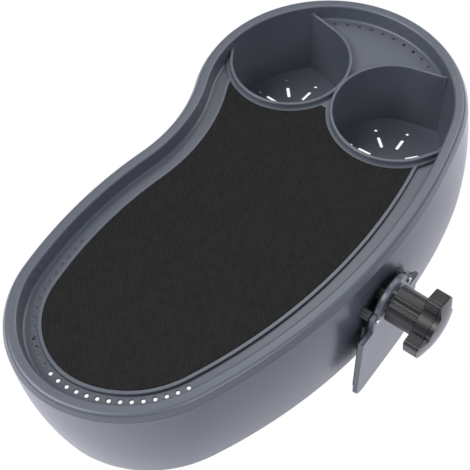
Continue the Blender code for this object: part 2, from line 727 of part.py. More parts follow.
def jaw_outline(inset=0.0, foot_lift=0.0):
    """The plate seen from the knob: arched head, pinned neck, shoulders and rounded foot."""
    arch = ARCH_RADIUS - inset
    neck = NECK_HALF_WIDTH - inset
    wide = SHOULDER_HALF_WIDTH - inset
    shoulder = -SHOULDER_DROP - inset
    neck_top = NECK_TOP - inset
    foot = -PLATE_FOOT_DROP + inset + foot_lift
    corner = PLATE_CORNER
    right = []
    for i in range(5):
        a = -math.pi / 2 + math.pi / 2 * i / 4
        right.append((wide - corner + corner * math.cos(a), foot + corner + corner * math.sin(a)))
    right.append((wide, shoulder))
    right.append((neck, shoulder))
    right.append((neck, neck_top))
    start = math.asin(neck_top / arch)
    for i in range(ARCH_STEPS + 1):
        a = start + (math.pi / 2 - start) * i / ARCH_STEPS
        right.append((arch * math.cos(a), arch * math.sin(a)))
    left = [(-x, z) for x, z in right[::-1][1:]]
    return right + left


def plate_prism(points, back, front):
    """An outline in X and Z, extruded along Y."""
    made = bmesh.new()
    face = made.faces.new([made.verts.new((x, back, z)) for x, z in points])
    moved = bmesh.ops.extrude_face_region(made, geom=[face])
    ends = [v for v in moved["geom"] if isinstance(v, bmesh.types.BMVert)]
    bmesh.ops.translate(made, verts=ends, vec=(0, front - back, 0))
    return made


def build_jaw_plate():
    body = plate_prism(jaw_outline(), PLATE_THICKNESS, 0)
    plate = add("jaw_plate", body, jaw_axis, ABS_BLUE_GREY)
    soften = plate.modifiers.new("edges", "BEVEL")
    soften.width = PLATE_EDGE_ROUND
    soften.segments = 2
    soften.limit_method = "ANGLE"
    soften.angle_limit = math.radians(60)
    holes = [(0, 0, BOLT_RADIUS + RUN_CLEARANCE)]
    holes += [(side * PIN_X, PIN_Z, PIN_RADIUS + SEAT_GAP) for side in (-1, 1)]
    for index, (x, z, radius) in enumerate(holes):
        hole = cylinder(radius, 4 * PLATE_THICKNESS, 20, "Y", (x, PLATE_THICKNESS / 2, z))
        combine(plate, add(f"jaw_hole_{index}", hole, jaw_axis, is_cutter=True), "DIFFERENCE")
    recess = cylinder(RING_RADIUS + 2 * RUN_CLEARANCE, 2 * RING_RECESS, 24, "Y",
                      (0, PLATE_THICKNESS, 0))
    combine(plate, add("ring_recess_tool", recess, jaw_axis, is_cutter=True), "DIFFERENCE")
    return plate


def build_jaw_pad():
    back = PLATE_THICKNESS + SEAT_GAP
    body = plate_prism(jaw_outline(PAD_INSET, PAD_FOOT_LIFT), PLATE_THICKNESS + PAD_THICKNESS,
                       back)
    pad = add("jaw_pad", body, jaw_axis, RUBBER_BLACK)
    holes = [(0, 0, RING_RADIUS + 2 * RUN_CLEARANCE)]
    holes += [(side * PIN_X, PIN_Z, PIN_RADIUS + SEAT_GAP) for side in (-1, 1)]
    for index, (x, z, radius) in enumerate(holes):
        hole = cylinder(radius, 4 * PLATE_THICKNESS, 20, "Y", (x, PLATE_THICKNESS, z))
        combine(pad, add(f"pad_hole_{index}", hole, jaw_axis, is_cutter=True), "DIFFERENCE")
    return pad


def build_guide_pins():
    for name, side in (("guide_pin_left", -1), ("guide_pin_right", 1)):
        body = cylinder(PIN_RADIUS, PIN_LENGTH, 16, "Y", (0, PIN_LENGTH / 2 - PIN_PROUD, 0))
        pin = add(name, body, jaw_axis, STEEL, (side * PIN_X, 0, PIN_Z))
        smooth(pin)


def build_thrust_washer():
    shape = ring_body(WASHER_RADIUS, BOLT_RADIUS + RUN_CLEARANCE, WASHER_THICKNESS)
    made = add("thrust_washer", shape, jaw_axis, STEEL,
               (0, -SEAT_GAP - WASHER_THICKNESS, 0))
    smooth(made)
    return made


# Knob; its own Y runs from the plate's front face (0) outwards to -Y

def knob_base():
    return -(2 * SEAT_GAP + WASHER_THICKNESS)


def lobed_outline():
    """Three rounded lobes round a core, as seen along the axis."""
    points = []
    end = LOBE_REACH - LOBE_CORNER
    edge = LOBE_HALF_WIDTH - LOBE_CORNER
    hollow_side = math.asin(LOBE_ROOT_HALF_WIDTH / HEAD_CORE_RADIUS)
    hollow_turn = 2 * math.pi / HEAD_LOBES - 2 * hollow_side
    for lobe in range(HEAD_LOBES):
        middle = LOBE_TURN + 2 * math.pi * lobe / HEAD_LOBES
        along, across = (math.cos(middle), math.sin(middle)), (-math.sin(middle), math.cos(middle))
        for side in (-1, 1):
            for i in range(LOBE_STEPS + 1):
                a = math.pi / 2 * (i / LOBE_STEPS - (1 if side < 0 else 0))
                u, v = polar((end, side * edge), LOBE_CORNER, a)
                points.append((along[0] * u + across[0] * v, along[1] * u + across[1] * v))
        for i in range(3):
            a = middle + hollow_side + hollow_turn * i / 2
            points.append(polar((0, 0), HEAD_CORE_RADIUS, a))
    return points


def hub_outline():
    """The hub as seen along the axis, with one groove for each lobe of the head."""
    points = []
    apart = 2 * math.pi / HEAD_LOBES
    for i in range(HUB_STEPS):
        a = GROOVE_TURN + 2 * math.pi * i / HUB_STEPS
        off = math.remainder(a - GROOVE_TURN, apart) / GROOVE_HALF_TURN
        points.append(polar((0, 0), HUB_RADIUS - GROOVE_DEPTH * max(0, 1 - off ** 2), a))
    return points


def build_knob():
    base = knob_base()
    head_start = base - HUB_LENGTH
    head_end = head_start - HEAD_THICKNESS
    hub = plate_prism(hub_outline(), base, head_start - HEAD_THICKNESS / 2)
    knob = add("knob_body", hub, knob_axis, KNOB_BLACK)
    head = plate_prism(lobed_outline(), head_start, head_end)
    combine(knob, add("head_tool", head, knob_axis, is_cutter=True), "UNION")
    bore = cylinder(BOLT_RADIUS + HUB_BORE_CLEARANCE, 2 * BOLT_LENGTH, 24, "Y")
    combine(knob, add("knob_bore", bore, knob_axis, is_cutter=True), "DIFFERENCE")
    pocket_depth = BOLT_HEAD_HEIGHT + 2 * SEAT_GAP
    across = BOLT_HEAD_ACROSS / 2 / math.cos(math.pi / 6) + SEAT_GAP
    pocket = cylinder(across, 2 * pocket_depth, 6, "Y", (0, head_end, 0))
    combine(knob, add("knob_pocket", pocket, knob_axis, is_cutter=True), "DIFFERENCE")
    smooth(knob, 30)

    dome = bmesh.new()
    outline = lobed_outline()
    loops = [[dome.verts.new((x, head_end - SEAT_GAP, z)) for x, z in outline]]
    for index in range(CAP_RINGS):
        share = 1 - index / CAP_RINGS
        loops.append([dome.verts.new((x * share, head_end - SEAT_GAP - CAP_EDGE
                                      - CAP_DOME * (1 - (x * x + z * z) * (share / LOBE_REACH) ** 2),
                                      z * share)) for x, z in outline])
    for low, high in zip(loops, loops[1:]):
        for i in range(len(low)):
            j = (i + 1) % len(low)
            dome.faces.new((low[i], low[j], high[j], high[i]))
    dome.faces.new(loops[0][::-1])
    middle = dome.verts.new((0, head_end - SEAT_GAP - CAP_EDGE - CAP_DOME, 0))
    for a, b in zip(loops[-1], loops[-1][1:] + loops[-1][:1]):
        dome.faces.new((a, b, middle))
    cap = add("knob_cap", dome, knob_axis, CAP_BLACK)
    smooth(cap, 50)

    seat = head_end + pocket_depth - SEAT_GAP
    shank = cylinder(BOLT_RADIUS, BOLT_LENGTH, 24, "Y", (0, seat + BOLT_LENGTH / 2, 0))
    bolt = add("clamp_bolt", shank, knob_axis, STEEL)
    hexagon = cylinder(BOLT_HEAD_ACROSS / 2 / math.cos(math.pi / 6), BOLT_HEAD_HEIGHT, 6, "Y",
                       (0, seat - BOLT_HEAD_HEIGHT / 2 + SEAT_GAP / 2, 0))
    combine(bolt, add("bolt_head_tool", hexagon, knob_axis, is_cutter=True), "UNION")
    smooth(bolt, 30)

    ring_shape = ring_body(RING_RADIUS, BOLT_RADIUS + RUN_CLEARANCE / 3, RING_THICKNESS)
    clip = add("retaining_ring", ring_shape, knob_axis, STEEL,
               (0, PLATE_THICKNESS - RING_RECESS + SEAT_GAP, 0))
    smooth(clip)


build_inner_tray()
build_outer_shell()
build_deck_mat()
build_shell_screws()
build_thread_insert()
build_guide_bushes()
build_reinforcing_plate()
build_jaw_plate()
build_jaw_pad()
build_guide_pins()
build_thrust_washer()
build_knob()
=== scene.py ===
"""Looks of the clamp-on hot tub tray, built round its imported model."""
import math

import bmesh
import bpy
from mathutils import Matrix, Vector


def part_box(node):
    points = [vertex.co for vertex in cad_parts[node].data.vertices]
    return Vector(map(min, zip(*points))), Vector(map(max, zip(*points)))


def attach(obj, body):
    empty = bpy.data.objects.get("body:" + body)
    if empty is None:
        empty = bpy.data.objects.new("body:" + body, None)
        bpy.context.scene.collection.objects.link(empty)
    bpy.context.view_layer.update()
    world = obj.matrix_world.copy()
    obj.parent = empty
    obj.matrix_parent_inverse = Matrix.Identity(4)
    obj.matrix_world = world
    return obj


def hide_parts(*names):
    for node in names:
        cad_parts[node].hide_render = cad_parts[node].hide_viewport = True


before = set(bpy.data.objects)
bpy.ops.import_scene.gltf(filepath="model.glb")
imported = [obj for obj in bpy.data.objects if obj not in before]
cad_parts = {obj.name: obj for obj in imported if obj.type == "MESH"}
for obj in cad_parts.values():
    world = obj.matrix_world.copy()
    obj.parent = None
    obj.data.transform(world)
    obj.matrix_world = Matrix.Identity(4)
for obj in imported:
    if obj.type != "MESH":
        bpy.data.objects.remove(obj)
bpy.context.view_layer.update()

# Camera
# It stands in front of the tray's tail and to its left, well above it, and is rolled a little,
# as the photograph was taken. Places are measured from the tray's datum, the middle of its plan
# at the height of the wall's foot.
TRAY_HEIGHT = 0.0986
tray_low, tray_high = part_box("inner_tray")
datum = Vector(((tray_low.x + tray_high.x) / 2, (tray_low.y + tray_high.y) / 2,
                tray_high.z - TRAY_HEIGHT))
EYE = Vector((-0.2702, -0.2285, 0.5759))
EYE_RIGHT = Vector((0.6113, -0.7894, -0.0563))
EYE_UP = Vector((0.6796, 0.4871, 0.5485))
LENS_PIXELS = 898.9
PHOTO_PIXELS = 470
SENSOR = 36.0

camera_data = bpy.data.cameras.new("camera")
camera_data.sensor_width = SENSOR
camera_data.lens = LENS_PIXELS * SENSOR / PHOTO_PIXELS
camera = bpy.data.objects.new("camera", camera_data)
bpy.context.scene.collection.objects.link(camera)
back = EYE_RIGHT.cross(EYE_UP).normalized()
up = back.cross(EYE_RIGHT).normalized()
turn = Matrix((EYE_RIGHT.normalized(), up, back)).transposed()
camera.matrix_world = Matrix.Translation(datum + EYE) @ turn.to_4x4()
bpy.context.scene.camera = camera
bpy.context.scene.view_settings.view_transform = "Standard"


# Moulded blue-grey ABS
# Every blue-grey piece is injection-moulded ABS. The tray's tool is spark-eroded, which gives
# a satin face with soft wide highlights. The tool of the wall and the jaw is polished, so
# these mirror the pale ground that they stand on.
FLOW_CLOUD_MM = 55.56
TONE_SPREAD = 0.05
ROUGHNESS_SPREAD = 0.03
PLASTIC_IOR = 1.53
COAT_ROUGHNESS = 0.25


def linear(hex_colour):
    """An sRGB hex colour as linear RGBA."""
    parts = [int(hex_colour[i:i + 2], 16) / 255 for i in (1, 3, 5)]
    flat = [p / 12.92 if p <= 0.04045 else ((p + 0.055) / 1.055) ** 2.4 for p in parts]
    return (*flat, 1.0)


def add_node(tree, kind, inputs=None, **settings):
    """One shader node with its settings; an input is a value or another node's output."""
    node = tree.nodes.new(kind)
    for name, value in settings.items():
        setattr(node, name, value)
    for name, value in (inputs or {}).items():
        if isinstance(value, bpy.types.NodeSocket):
            tree.links.new(value, node.inputs[name])
        else:
            node.inputs[name].default_value = value
    return node


def start_material(name):
    """A material with an empty node tree, and the place on the piece that patterns follow."""
    material = bpy.data.materials.new(name)
    material.use_nodes = True
    tree = material.node_tree
    tree.nodes.clear()
    return material, tree, add_node(tree, "ShaderNodeTexCoord").outputs["Object"]


def moulded_plastic(name, colour, roughness, grain_mm, grain_depth_mm, coat):
    """Moulded thermoplastic: even colour with faint flow clouding and a fine tool texture."""
    material, tree, place = start_material(name)
    base = linear(colour)[:3]
    deeper = (*(c * (1 - TONE_SPREAD) for c in base), 1.0)
    paler = (*(c * (1 + TONE_SPREAD) for c in base), 1.0)
    cloud = add_node(tree, "ShaderNodeTexNoise", {"Vector": place, "Scale": 1000 / FLOW_CLOUD_MM,
                                                  "Detail": 3.0})
    tone = add_node(tree, "ShaderNodeMix", {"Factor": cloud.outputs["Fac"], "A": deeper,
                                            "B": paler}, data_type="RGBA")
    spread = add_node(tree, "ShaderNodeMapRange", {"Value": cloud.outputs["Fac"],
                                                   "To Min": roughness - ROUGHNESS_SPREAD,
                                                   "To Max": roughness + ROUGHNESS_SPREAD})
    grain = add_node(tree, "ShaderNodeTexNoise", {"Vector": place, "Scale": 1000 / grain_mm / 2,
                                                  "Detail": 2.0})
    bump = add_node(tree, "ShaderNodeBump", {"Height": grain.outputs["Fac"], "Strength": 1.0,
                                             "Distance": grain_depth_mm / 1000})
    shader = add_node(tree, "ShaderNodeBsdfPrincipled",
                      {"Base Color": tone.outputs["Result"], "Normal": bump.outputs["Normal"],
                       "Roughness": spread.outputs["Result"], "IOR": PLASTIC_IOR,
                       "Coat Weight": coat, "Coat Roughness": COAT_ROUGHNESS})
    add_node(tree, "ShaderNodeOutputMaterial", {"Surface": shader.outputs["BSDF"]})
    return material


# The real grain is finer than the picture can show, so it is drawn coarser and shallow.
GREY_ABS = moulded_plastic("moulded_abs_blue_grey", "#555A65", roughness=0.36, grain_mm=0.35,
                           grain_depth_mm=0.004, coat=0.15)
WALL_ABS = moulded_plastic("moulded_abs_polished_wall", "#505561", roughness=0.26,
                           grain_mm=0.5, grain_depth_mm=0.0002, coat=0.0)


# Plan of the tray
# The rim's outline is six arcs, each tangent to the next, which the mould maker would have
# drawn: cup end, waist, back, two for the tail, and the long front. Every edge of the moulding
# follows it at a fixed inset.
LOBE = Vector((0.0956, 0.0050))
LOBE_RADIUS = 0.0969
TAIL = Vector((-0.1206, 0.0119))
TAIL_RADIUS = 0.0719
TAIL_FRONT_RADIUS = 0.0927
TAIL_CHANGE = math.radians(191.7)
FRONT_RADIUS = 0.3892
WAIST_RADIUS = 0.1141
WAIST_BEARING = math.radians(116.6)
BACK_RADIUS = 0.3004
SWEEP_STEP = 0.0024
WELD = 0.00002
CREASE_DEGREES = 35.0
ROUNDED_FROM = math.radians(50)


def polar(centre, radius, bearing):
    """A point at a distance and bearing from a centre."""
    return Vector((centre[0] + radius * math.cos(bearing), centre[1] + radius * math.sin(bearing)))


def bearing(a, b):
    """The direction of b from a."""
    return math.atan2(b[1] - a[1], b[0] - a[0])


def meet(a, from_a, b, from_b, side):
    """The point at the given distances from a and b, left (1) or right (-1) of the way to b."""
    way = b - a
    along = (from_a ** 2 - from_b ** 2 + way.length_squared) / (2 * way.length)
    across = side * math.sqrt(from_a ** 2 - along ** 2)
    unit = way.normalized()
    return a + unit * along + Vector((-unit.y, unit.x)) * across


def plan_arcs():
    """Centre, radius, start, signed sweep, and 1 where the plan bulges or -1 at the waist."""
    waist = polar(LOBE, LOBE_RADIUS + WAIST_RADIUS, WAIST_BEARING)
    back_centre = meet(waist, BACK_RADIUS + WAIST_RADIUS, TAIL, BACK_RADIUS - TAIL_RADIUS, 1)
    tail_front = polar(TAIL, TAIL_RADIUS - TAIL_FRONT_RADIUS, TAIL_CHANGE)
    front = meet(LOBE, FRONT_RADIUS - LOBE_RADIUS, tail_front, FRONT_RADIUS - TAIL_FRONT_RADIUS, -1)
    lobe_start = bearing(front, LOBE)
    arcs = ((LOBE, LOBE_RADIUS, lobe_start, WAIST_BEARING, 1),
            (waist, WAIST_RADIUS, WAIST_BEARING - math.pi, bearing(waist, back_centre), -1),
            (back_centre, BACK_RADIUS, bearing(back_centre, waist), bearing(back_centre, TAIL), 1),
            (TAIL, TAIL_RADIUS, bearing(back_centre, TAIL), TAIL_CHANGE, 1),
            (tail_front, TAIL_FRONT_RADIUS, TAIL_CHANGE, bearing(front, tail_front), 1),
            (front, FRONT_RADIUS, bearing(front, tail_front), lobe_start, 1))
    return [(c, r, a, ((b - a) * s) % (2 * math.pi) * s, s) for c, r, a, b, s in arcs]


ARCS = plan_arcs()


def sweep(section, closed=True):
    """Carries a section of insets and heights round the plan: one spin for each arc. A section
    that isn't closed ends in two flat faces."""
    mesh = bmesh.new()
    centre, radius, start, _, _ = ARCS[0]
    verts = []
    for inset, height in section:
        spot = polar(centre, radius - inset, start)
        verts.append(mesh.verts.new((spot.x, spot.y, height)))
    pairs = list(zip(verts, verts[1:])) + ([(verts[-1], verts[0])] if closed else [])
    last = verts + [mesh.edges.new(pair) for pair in pairs]
    for centre, radius, start, angle, _ in ARCS:
        steps = max(3, round(abs(angle) * radius / SWEEP_STEP))
        made = bmesh.ops.spin(mesh, geom=last, cent=(centre.x, centre.y, 0), axis=(0, 0, 1),
                              angle=angle, steps=steps, use_merge=False)
        last = made["geom_last"]
    bmesh.ops.remove_doubles(mesh, verts=mesh.verts, dist=WELD)
    bmesh.ops.recalc_face_normals(mesh, faces=mesh.faces)
    if not closed:
        bmesh.ops.holes_fill(mesh, edges=[e for e in mesh.edges if e.is_boundary], sides=0)
        bmesh.ops.recalc_face_normals(mesh, faces=mesh.faces)
    return mesh


def slab(inset, low, high):
    """A flat plate with the plan's outline at an inset."""
    return sweep([(inset, low), (inset, high)], closed=False)


def arc_points(centre, radius, first, last, steps):
    """Points of an arc, bearings in degrees."""
    return [tuple(polar(centre, radius, math.radians(first + (last - first) * i / steps)))
            for i in range(steps + 1)]


def piece(name, mesh, material=None, lift=datum):
    """An object at the origin from a bmesh, whose place is measured from the datum."""
    bmesh.ops.translate(mesh, verts=mesh.verts, vec=lift)
    data = bpy.data.meshes.new(name)
    mesh.to_mesh(data)
    mesh.free()
    made = bpy.data.objects.new(name, data)
    bpy.context.scene.collection.objects.link(made)
    if material is not None:
        data.materials.append(material)
    data.shade_smooth()
    data.set_sharp_from_angle(angle=math.radians(CREASE_DEGREES))
    return made


def settle(target):
    """Makes a piece's modifiers part of its mesh."""
    graph = bpy.context.evaluated_depsgraph_get()
    data = bpy.data.meshes.new_from_object(target.evaluated_get(graph), depsgraph=graph)
    target.modifiers.clear()
    old = target.data
    target.data = data
    bpy.data.meshes.remove(old)


def cut(target, tool_mesh, operation="DIFFERENCE", lift=datum):
    """Applies one Boolean with a closed bmesh as its tool."""
    tool = piece("tool", tool_mesh, lift=lift)
    step = target.modifiers.new("cut", "BOOLEAN")
    step.operation = operation
    step.object = tool
    step.solver = "EXACT"
    settle(target)
    bpy.data.objects.remove(tool)


def combine(target, shape, operation="DIFFERENCE"):
    """Applies one Boolean with a finished shape, which is used up."""
    mesh = bmesh.new()
    mesh.from_mesh(shape.data)
    bpy.data.objects.remove(shape)
    cut(target, mesh, operation, lift=(0, 0, 0))


def finish_edges(target, width=0.0, sharp=CREASE_DEGREES, segments=2):
    """Small moulded radii on the sharp edges where a width is given; flats are kept flat."""
    if width:
        soften = target.modifiers.new("radii", "BEVEL")
        soften.width = width
        soften.segments = segments
        soften.limit_method = "ANGLE"
        soften.angle_limit = ROUNDED_FROM
    settle(target)
    target.data.shade_smooth()
    target.data.set_sharp_from_angle(angle=math.radians(sharp))
    even = target.modifiers.new("even", "WEIGHTED_NORMAL")
    even.keep_sharp = True


# Rim of the inner tray
# The inner tray is one moulding in grey ABS. Its rim is a hollow rounded lip that runs round
# the whole plan and ends outside in a crisp edge on the wall; inside it drops to the gutter,
# and behind the cup wells it runs on down as their outer wall.
RIM_EDGE = 0.0940
RIM_ROUND = 0.0045
RIM_CROWN = 0.0032
RIM_SLOPE_DEGREES = 30
RIM_WIDTH = 0.0098
RIM_INNER_ROUND = 0.0015
RIM_SKIN = 0.0024
RIM_TONGUE = 0.0016
GUTTER_TOP = 0.0856
GUTTER_SKIRT = 0.0015
WELL_FLOOR = 0.0340
FLOOR_SKIN = 0.0025
DRAINED_SKIN = 0.0012
CUP_X = 0.1125
CUP_MIDDLE_Y = 0.0058
CUP_SPACING = 0.0890
DIVIDER_RADIUS = 0.0440
DIVIDER_THICKNESS = 0.0024
DIVIDER_REACH = math.radians(32.3)
DIVIDER_RETURN = math.radians(12.4)
WELLS_REACH = 0.1200
FINE_STEP = 0.0002
FINE_GAP = 0.00005
LEVEL_NORMAL = 0.9
CUPS = tuple((Vector((CUP_X, CUP_MIDDLE_Y + side * CUP_SPACING / 2)), side) for side in (1, -1))


def inset_of(spot):
    """How far inside the outline a point of the plan lies."""
    found = []
    for centre, radius, start, angle, sign in ARCS:
        turned = ((bearing(centre, spot) - start) * sign) % (2 * math.pi)
        if turned <= abs(angle):
            found.append(sign * (radius - (spot - centre).length))
    return min(found, key=abs) if found else 1.0


def divider_ends(side):
    """Where a divider's arc starts and how far it turns."""
    return -side * DIVIDER_RETURN, -side * (math.pi + DIVIDER_REACH + DIVIDER_RETURN)


def tangent_run(cup, side, at_start, until):
    """A divider's straight end: its foot, its direction, and its length up to an inset."""
    start, angle = divider_ends(side)
    at = start if at_start else start + angle
    foot = polar(cup, DIVIDER_RADIUS, at)
    way = polar((0, 0), 1.0, at + (side if at_start else -side) * math.pi / 2)
    run = 0.0
    while inset_of(foot + way * run) > until:
        run += FINE_STEP
    return foot, way, run


def extrude(mesh, faces, way):
    """Extrudes faces and moves the new ones along."""
    grown = bmesh.ops.extrude_face_region(mesh, geom=faces)["geom"]
    bmesh.ops.translate(mesh, verts=[v for v in grown if isinstance(v, bmesh.types.BMVert)],
                        vec=way)


skirt_end = GUTTER_TOP - GUTTER_SKIRT
rim_section = [(RIM_SKIN, RIM_EDGE), (0.0, RIM_EDGE)]
rim_section += arc_points((RIM_ROUND, TRAY_HEIGHT - RIM_CROWN), RIM_CROWN,
                          180 - RIM_SLOPE_DEGREES, 90, steps=8)
rim_section += arc_points((RIM_WIDTH - RIM_INNER_ROUND, TRAY_HEIGHT - RIM_INNER_ROUND),
                          RIM_INNER_ROUND, 90, 0, steps=5)
rim_section += [(RIM_WIDTH, skirt_end), (RIM_WIDTH - RIM_SKIN, skirt_end),
                (RIM_WIDTH - RIM_SKIN, TRAY_HEIGHT - RIM_SKIN),
                (RIM_SKIN + RIM_TONGUE, TRAY_HEIGHT - RIM_SKIN),
                (RIM_SKIN, TRAY_HEIGHT - 3 / 2 * RIM_SKIN)]
rim = sweep(rim_section)
# Beside the cups the rim's skirt goes on down to the wells' floor.
wells_wall = []
for cup, side in CUPS:
    ends = []
    for at_start in (True, False):
        foot, way, run = tangent_run(cup, side, at_start, RIM_WIDTH)
        ends.append(bearing(LOBE, foot + way * run))
    first, last = (ends if side > 0 else ends[::-1])
    for face in rim.faces:
        middle = face.calc_center_median()
        at_skirt = middle.z < skirt_end + FINE_GAP and abs(face.normal.z) > LEVEL_NORMAL
        turned = (bearing(LOBE, middle.xy) - first) % (2 * math.pi)
        beside_cup = turned < (last - first) % (2 * math.pi)
        if at_skirt and beside_cup and (middle.xy - LOBE).length < WELLS_REACH:
            wells_wall.append(face)
extrude(rim, wells_wall, (0, 0, WELL_FLOOR - FLOOR_SKIN - skirt_end))
bmesh.ops.delete(rim, geom=wells_wall, context="FACES")
tray_rim = piece("tray_rim", rim, GREY_ABS)
finish_edges(tray_rim)
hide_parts("inner_tray")
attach(tray_rim, "tray")


# Floor of the inner tray
# Part of the same moulding: the flat bottom of the gutter and of the side compartment, which
# meets the rim in a small radius and is pierced by two rows of drain holes. Posts under it take
# the shell's screws.
GUTTER_FILLET = 0.0020
DECK_EDGE = 0.0200
FLOOR_FLAT = 0.0320
STRIP_WIDTH = 0.0025
STRIP_RADIUS = DIVIDER_RADIUS + DIVIDER_THICKNESS / 2 + STRIP_WIDTH
SEAM_WIDTH = 0.00028
SEAM_DEPTH = 0.0009
DRAIN_RADIUS = 0.0013
DRAIN_MOUTH = 0.0017
DRAIN_DEPTH = 0.0040
MOUTH_DEPTH = 0.0004
HOLE_SIDES = 20
GUTTER_ROW_INSET = 0.0165
GUTTER_ROW_MIDDLE = math.radians(163.8)
GUTTER_ROW_COUNT = 29
GUTTER_ROW_PITCH = 0.00695
COMPARTMENT_ROW_INSET = 0.0148
COMPARTMENT_ROW_MIDDLE = math.radians(1.0)
COMPARTMENT_ROW_COUNT = 10
COMPARTMENT_ROW_PITCH = 0.00955
BEHIND_WALL = 0.0004
POST_RADIUS = 0.0042
POST_INSET = 0.0092
POST_FOOT = 0.0600
POST_SIDES = 32
# Each post: which arc of the plan it stands along, and how far along it.
POSTS = ((0, 0.37), (1, 0.40), (2, 0.50), (3, 0.30), (4, 0.20), (5, 0.18), (5, 0.80))
BELOW_FLOOR = 0.0500
ABOVE_DECK = 0.1200


def well_outline(cup, side, steps=96):
    """A well's plan: its round side, and its straight ends run on past the outer wall."""
    start, angle = divider_ends(side)
    points = [polar(cup, DIVIDER_RADIUS, start + angle * i / steps) for i in range(steps + 1)]
    into = polar((0, 0), LOBE_RADIUS, start + side * math.pi / 2)
    out = polar((0, 0), LOBE_RADIUS, start + angle - side * math.pi / 2)
    return [points[0] + into] + points + [points[-1] + out]


def column(points, low, high):
    """A plan outline raised into a closed solid."""
    mesh = bmesh.new()
    base = mesh.faces.new([mesh.verts.new((p[0], p[1], low)) for p in points])
    extrude(mesh, [base], (0, 0, high - low))
    bmesh.ops.recalc_face_normals(mesh, faces=mesh.faces)
    return mesh


def disc(centre, radius, low, high, sides=96):
    """A closed upright cylinder."""
    mesh = bmesh.new()
    bmesh.ops.create_cone(mesh, cap_ends=True, segments=sides, radius1=radius, radius2=radius,
                          depth=high - low)
    bmesh.ops.translate(mesh, verts=mesh.verts, vec=(centre[0], centre[1], (low + high) / 2))
    return mesh


def drain(spot, top):
    """A drain hole with a countersunk mouth."""
    mesh = bmesh.new()
    reach = DRAIN_MOUTH - DRAIN_RADIUS
    bmesh.ops.create_cone(mesh, cap_ends=True, segments=HOLE_SIDES, radius1=DRAIN_RADIUS,
                          radius2=DRAIN_MOUTH + reach, depth=2 * MOUTH_DEPTH)
    bmesh.ops.translate(mesh, verts=mesh.verts, vec=(spot[0], spot[1], top))
    lowest = min(mesh.faces, key=lambda face: face.calc_center_median().z)
    extrude(mesh, [lowest], (0, 0, -DRAIN_DEPTH))
    bmesh.ops.delete(mesh, geom=[lowest], context="FACES_ONLY")
    bmesh.ops.recalc_face_normals(mesh, faces=mesh.faces)
    return mesh


def block(low, high):
    """A box between two corners."""
    mesh = bmesh.new()
    bmesh.ops.create_cube(mesh, size=1.0)
    low, high = Vector(low), Vector(high)
    bmesh.ops.scale(mesh, verts=mesh.verts, vec=high - low)
    bmesh.ops.translate(mesh, verts=mesh.verts, vec=(low + high) / 2)
    return mesh


def tail_side(x):
    """A block that holds all of the tray on the tail's side of a place."""
    return block((-1, -1, 0), (x, 1, 1))


def gather(meshes):
    """Several closed shapes in one bmesh."""
    whole = bmesh.new()
    for one in meshes:
        data = bpy.data.meshes.new("gather")
        one.to_mesh(data)
        one.free()
        whole.from_mesh(data)
        bpy.data.meshes.remove(data)
    return whole


def walk(inset, centre, middle, count, pitch):
    """Evenly spaced places along the plan at an inset, centred on a bearing from a point."""
    fine = []
    for c, radius, start, angle, sign in ARCS:
        steps = int(abs(angle) * radius / FINE_STEP)
        fine += [polar(c, radius - sign * inset, start + angle * i / steps) for i in range(steps)]
    away = [abs(math.remainder(bearing(centre, p) - middle, 2 * math.pi)) for p in fine]
    nearest = away.index(min(away))
    fine = fine[nearest:] + fine[:nearest]
    lengths = [0.0]
    for a, b in zip(fine, fine[1:] + fine[:1]):
        lengths.append(lengths[-1] + (b - a).length)
    places = []
    for i in range(count):
        wanted = ((i - (count - 1) / 2) * pitch) % lengths[-1]
        places.append(fine[min(range(len(fine)), key=lambda k: abs(lengths[k] - wanted))])
    return places


floor_section = [(FLOOR_FLAT, GUTTER_TOP - DRAINED_SKIN),
                 (RIM_WIDTH - BEHIND_WALL, GUTTER_TOP - DRAINED_SKIN),
                 (RIM_WIDTH - BEHIND_WALL, GUTTER_TOP + GUTTER_FILLET)]
floor_section += arc_points((RIM_WIDTH + GUTTER_FILLET, GUTTER_TOP + GUTTER_FILLET),
                            GUTTER_FILLET, 180, 270, steps=6)
floor_section += [(FLOOR_FLAT, GUTTER_TOP)]
tray_floor = piece("tray_floor", sweep(floor_section, closed=False), GREY_ABS)
for cup, side in CUPS:
    cut(tray_floor, column(well_outline(cup, side), BELOW_FLOOR, ABOVE_DECK))
gutter_row = walk(GUTTER_ROW_INSET, TAIL, GUTTER_ROW_MIDDLE, GUTTER_ROW_COUNT, GUTTER_ROW_PITCH)
compartment_row = walk(COMPARTMENT_ROW_INSET, LOBE, COMPARTMENT_ROW_MIDDLE,
                       COMPARTMENT_ROW_COUNT, COMPARTMENT_ROW_PITCH)
cut(tray_floor, gather([drain(spot, GUTTER_TOP) for spot in gutter_row]))
cut(tray_floor, gather([disc(spot, DRAIN_RADIUS, GUTTER_TOP - 2 * FLOOR_SKIN,
                             GUTTER_TOP + FLOOR_SKIN, HOLE_SIDES) for spot in compartment_row]))
posts = []
for index, share in POSTS:
    centre, radius, start, angle, sign = ARCS[index]
    spot = polar(centre, radius - sign * POST_INSET, start + angle * share)
    out = (spot - centre).normalized() * sign
    posts.append((spot, math.atan2(out.y, out.x)))
for spot, _ in posts:
    cut(tray_floor, disc(spot, POST_RADIUS, POST_FOOT, GUTTER_TOP - DRAINED_SKIN / 2, POST_SIDES),
        "UNION")
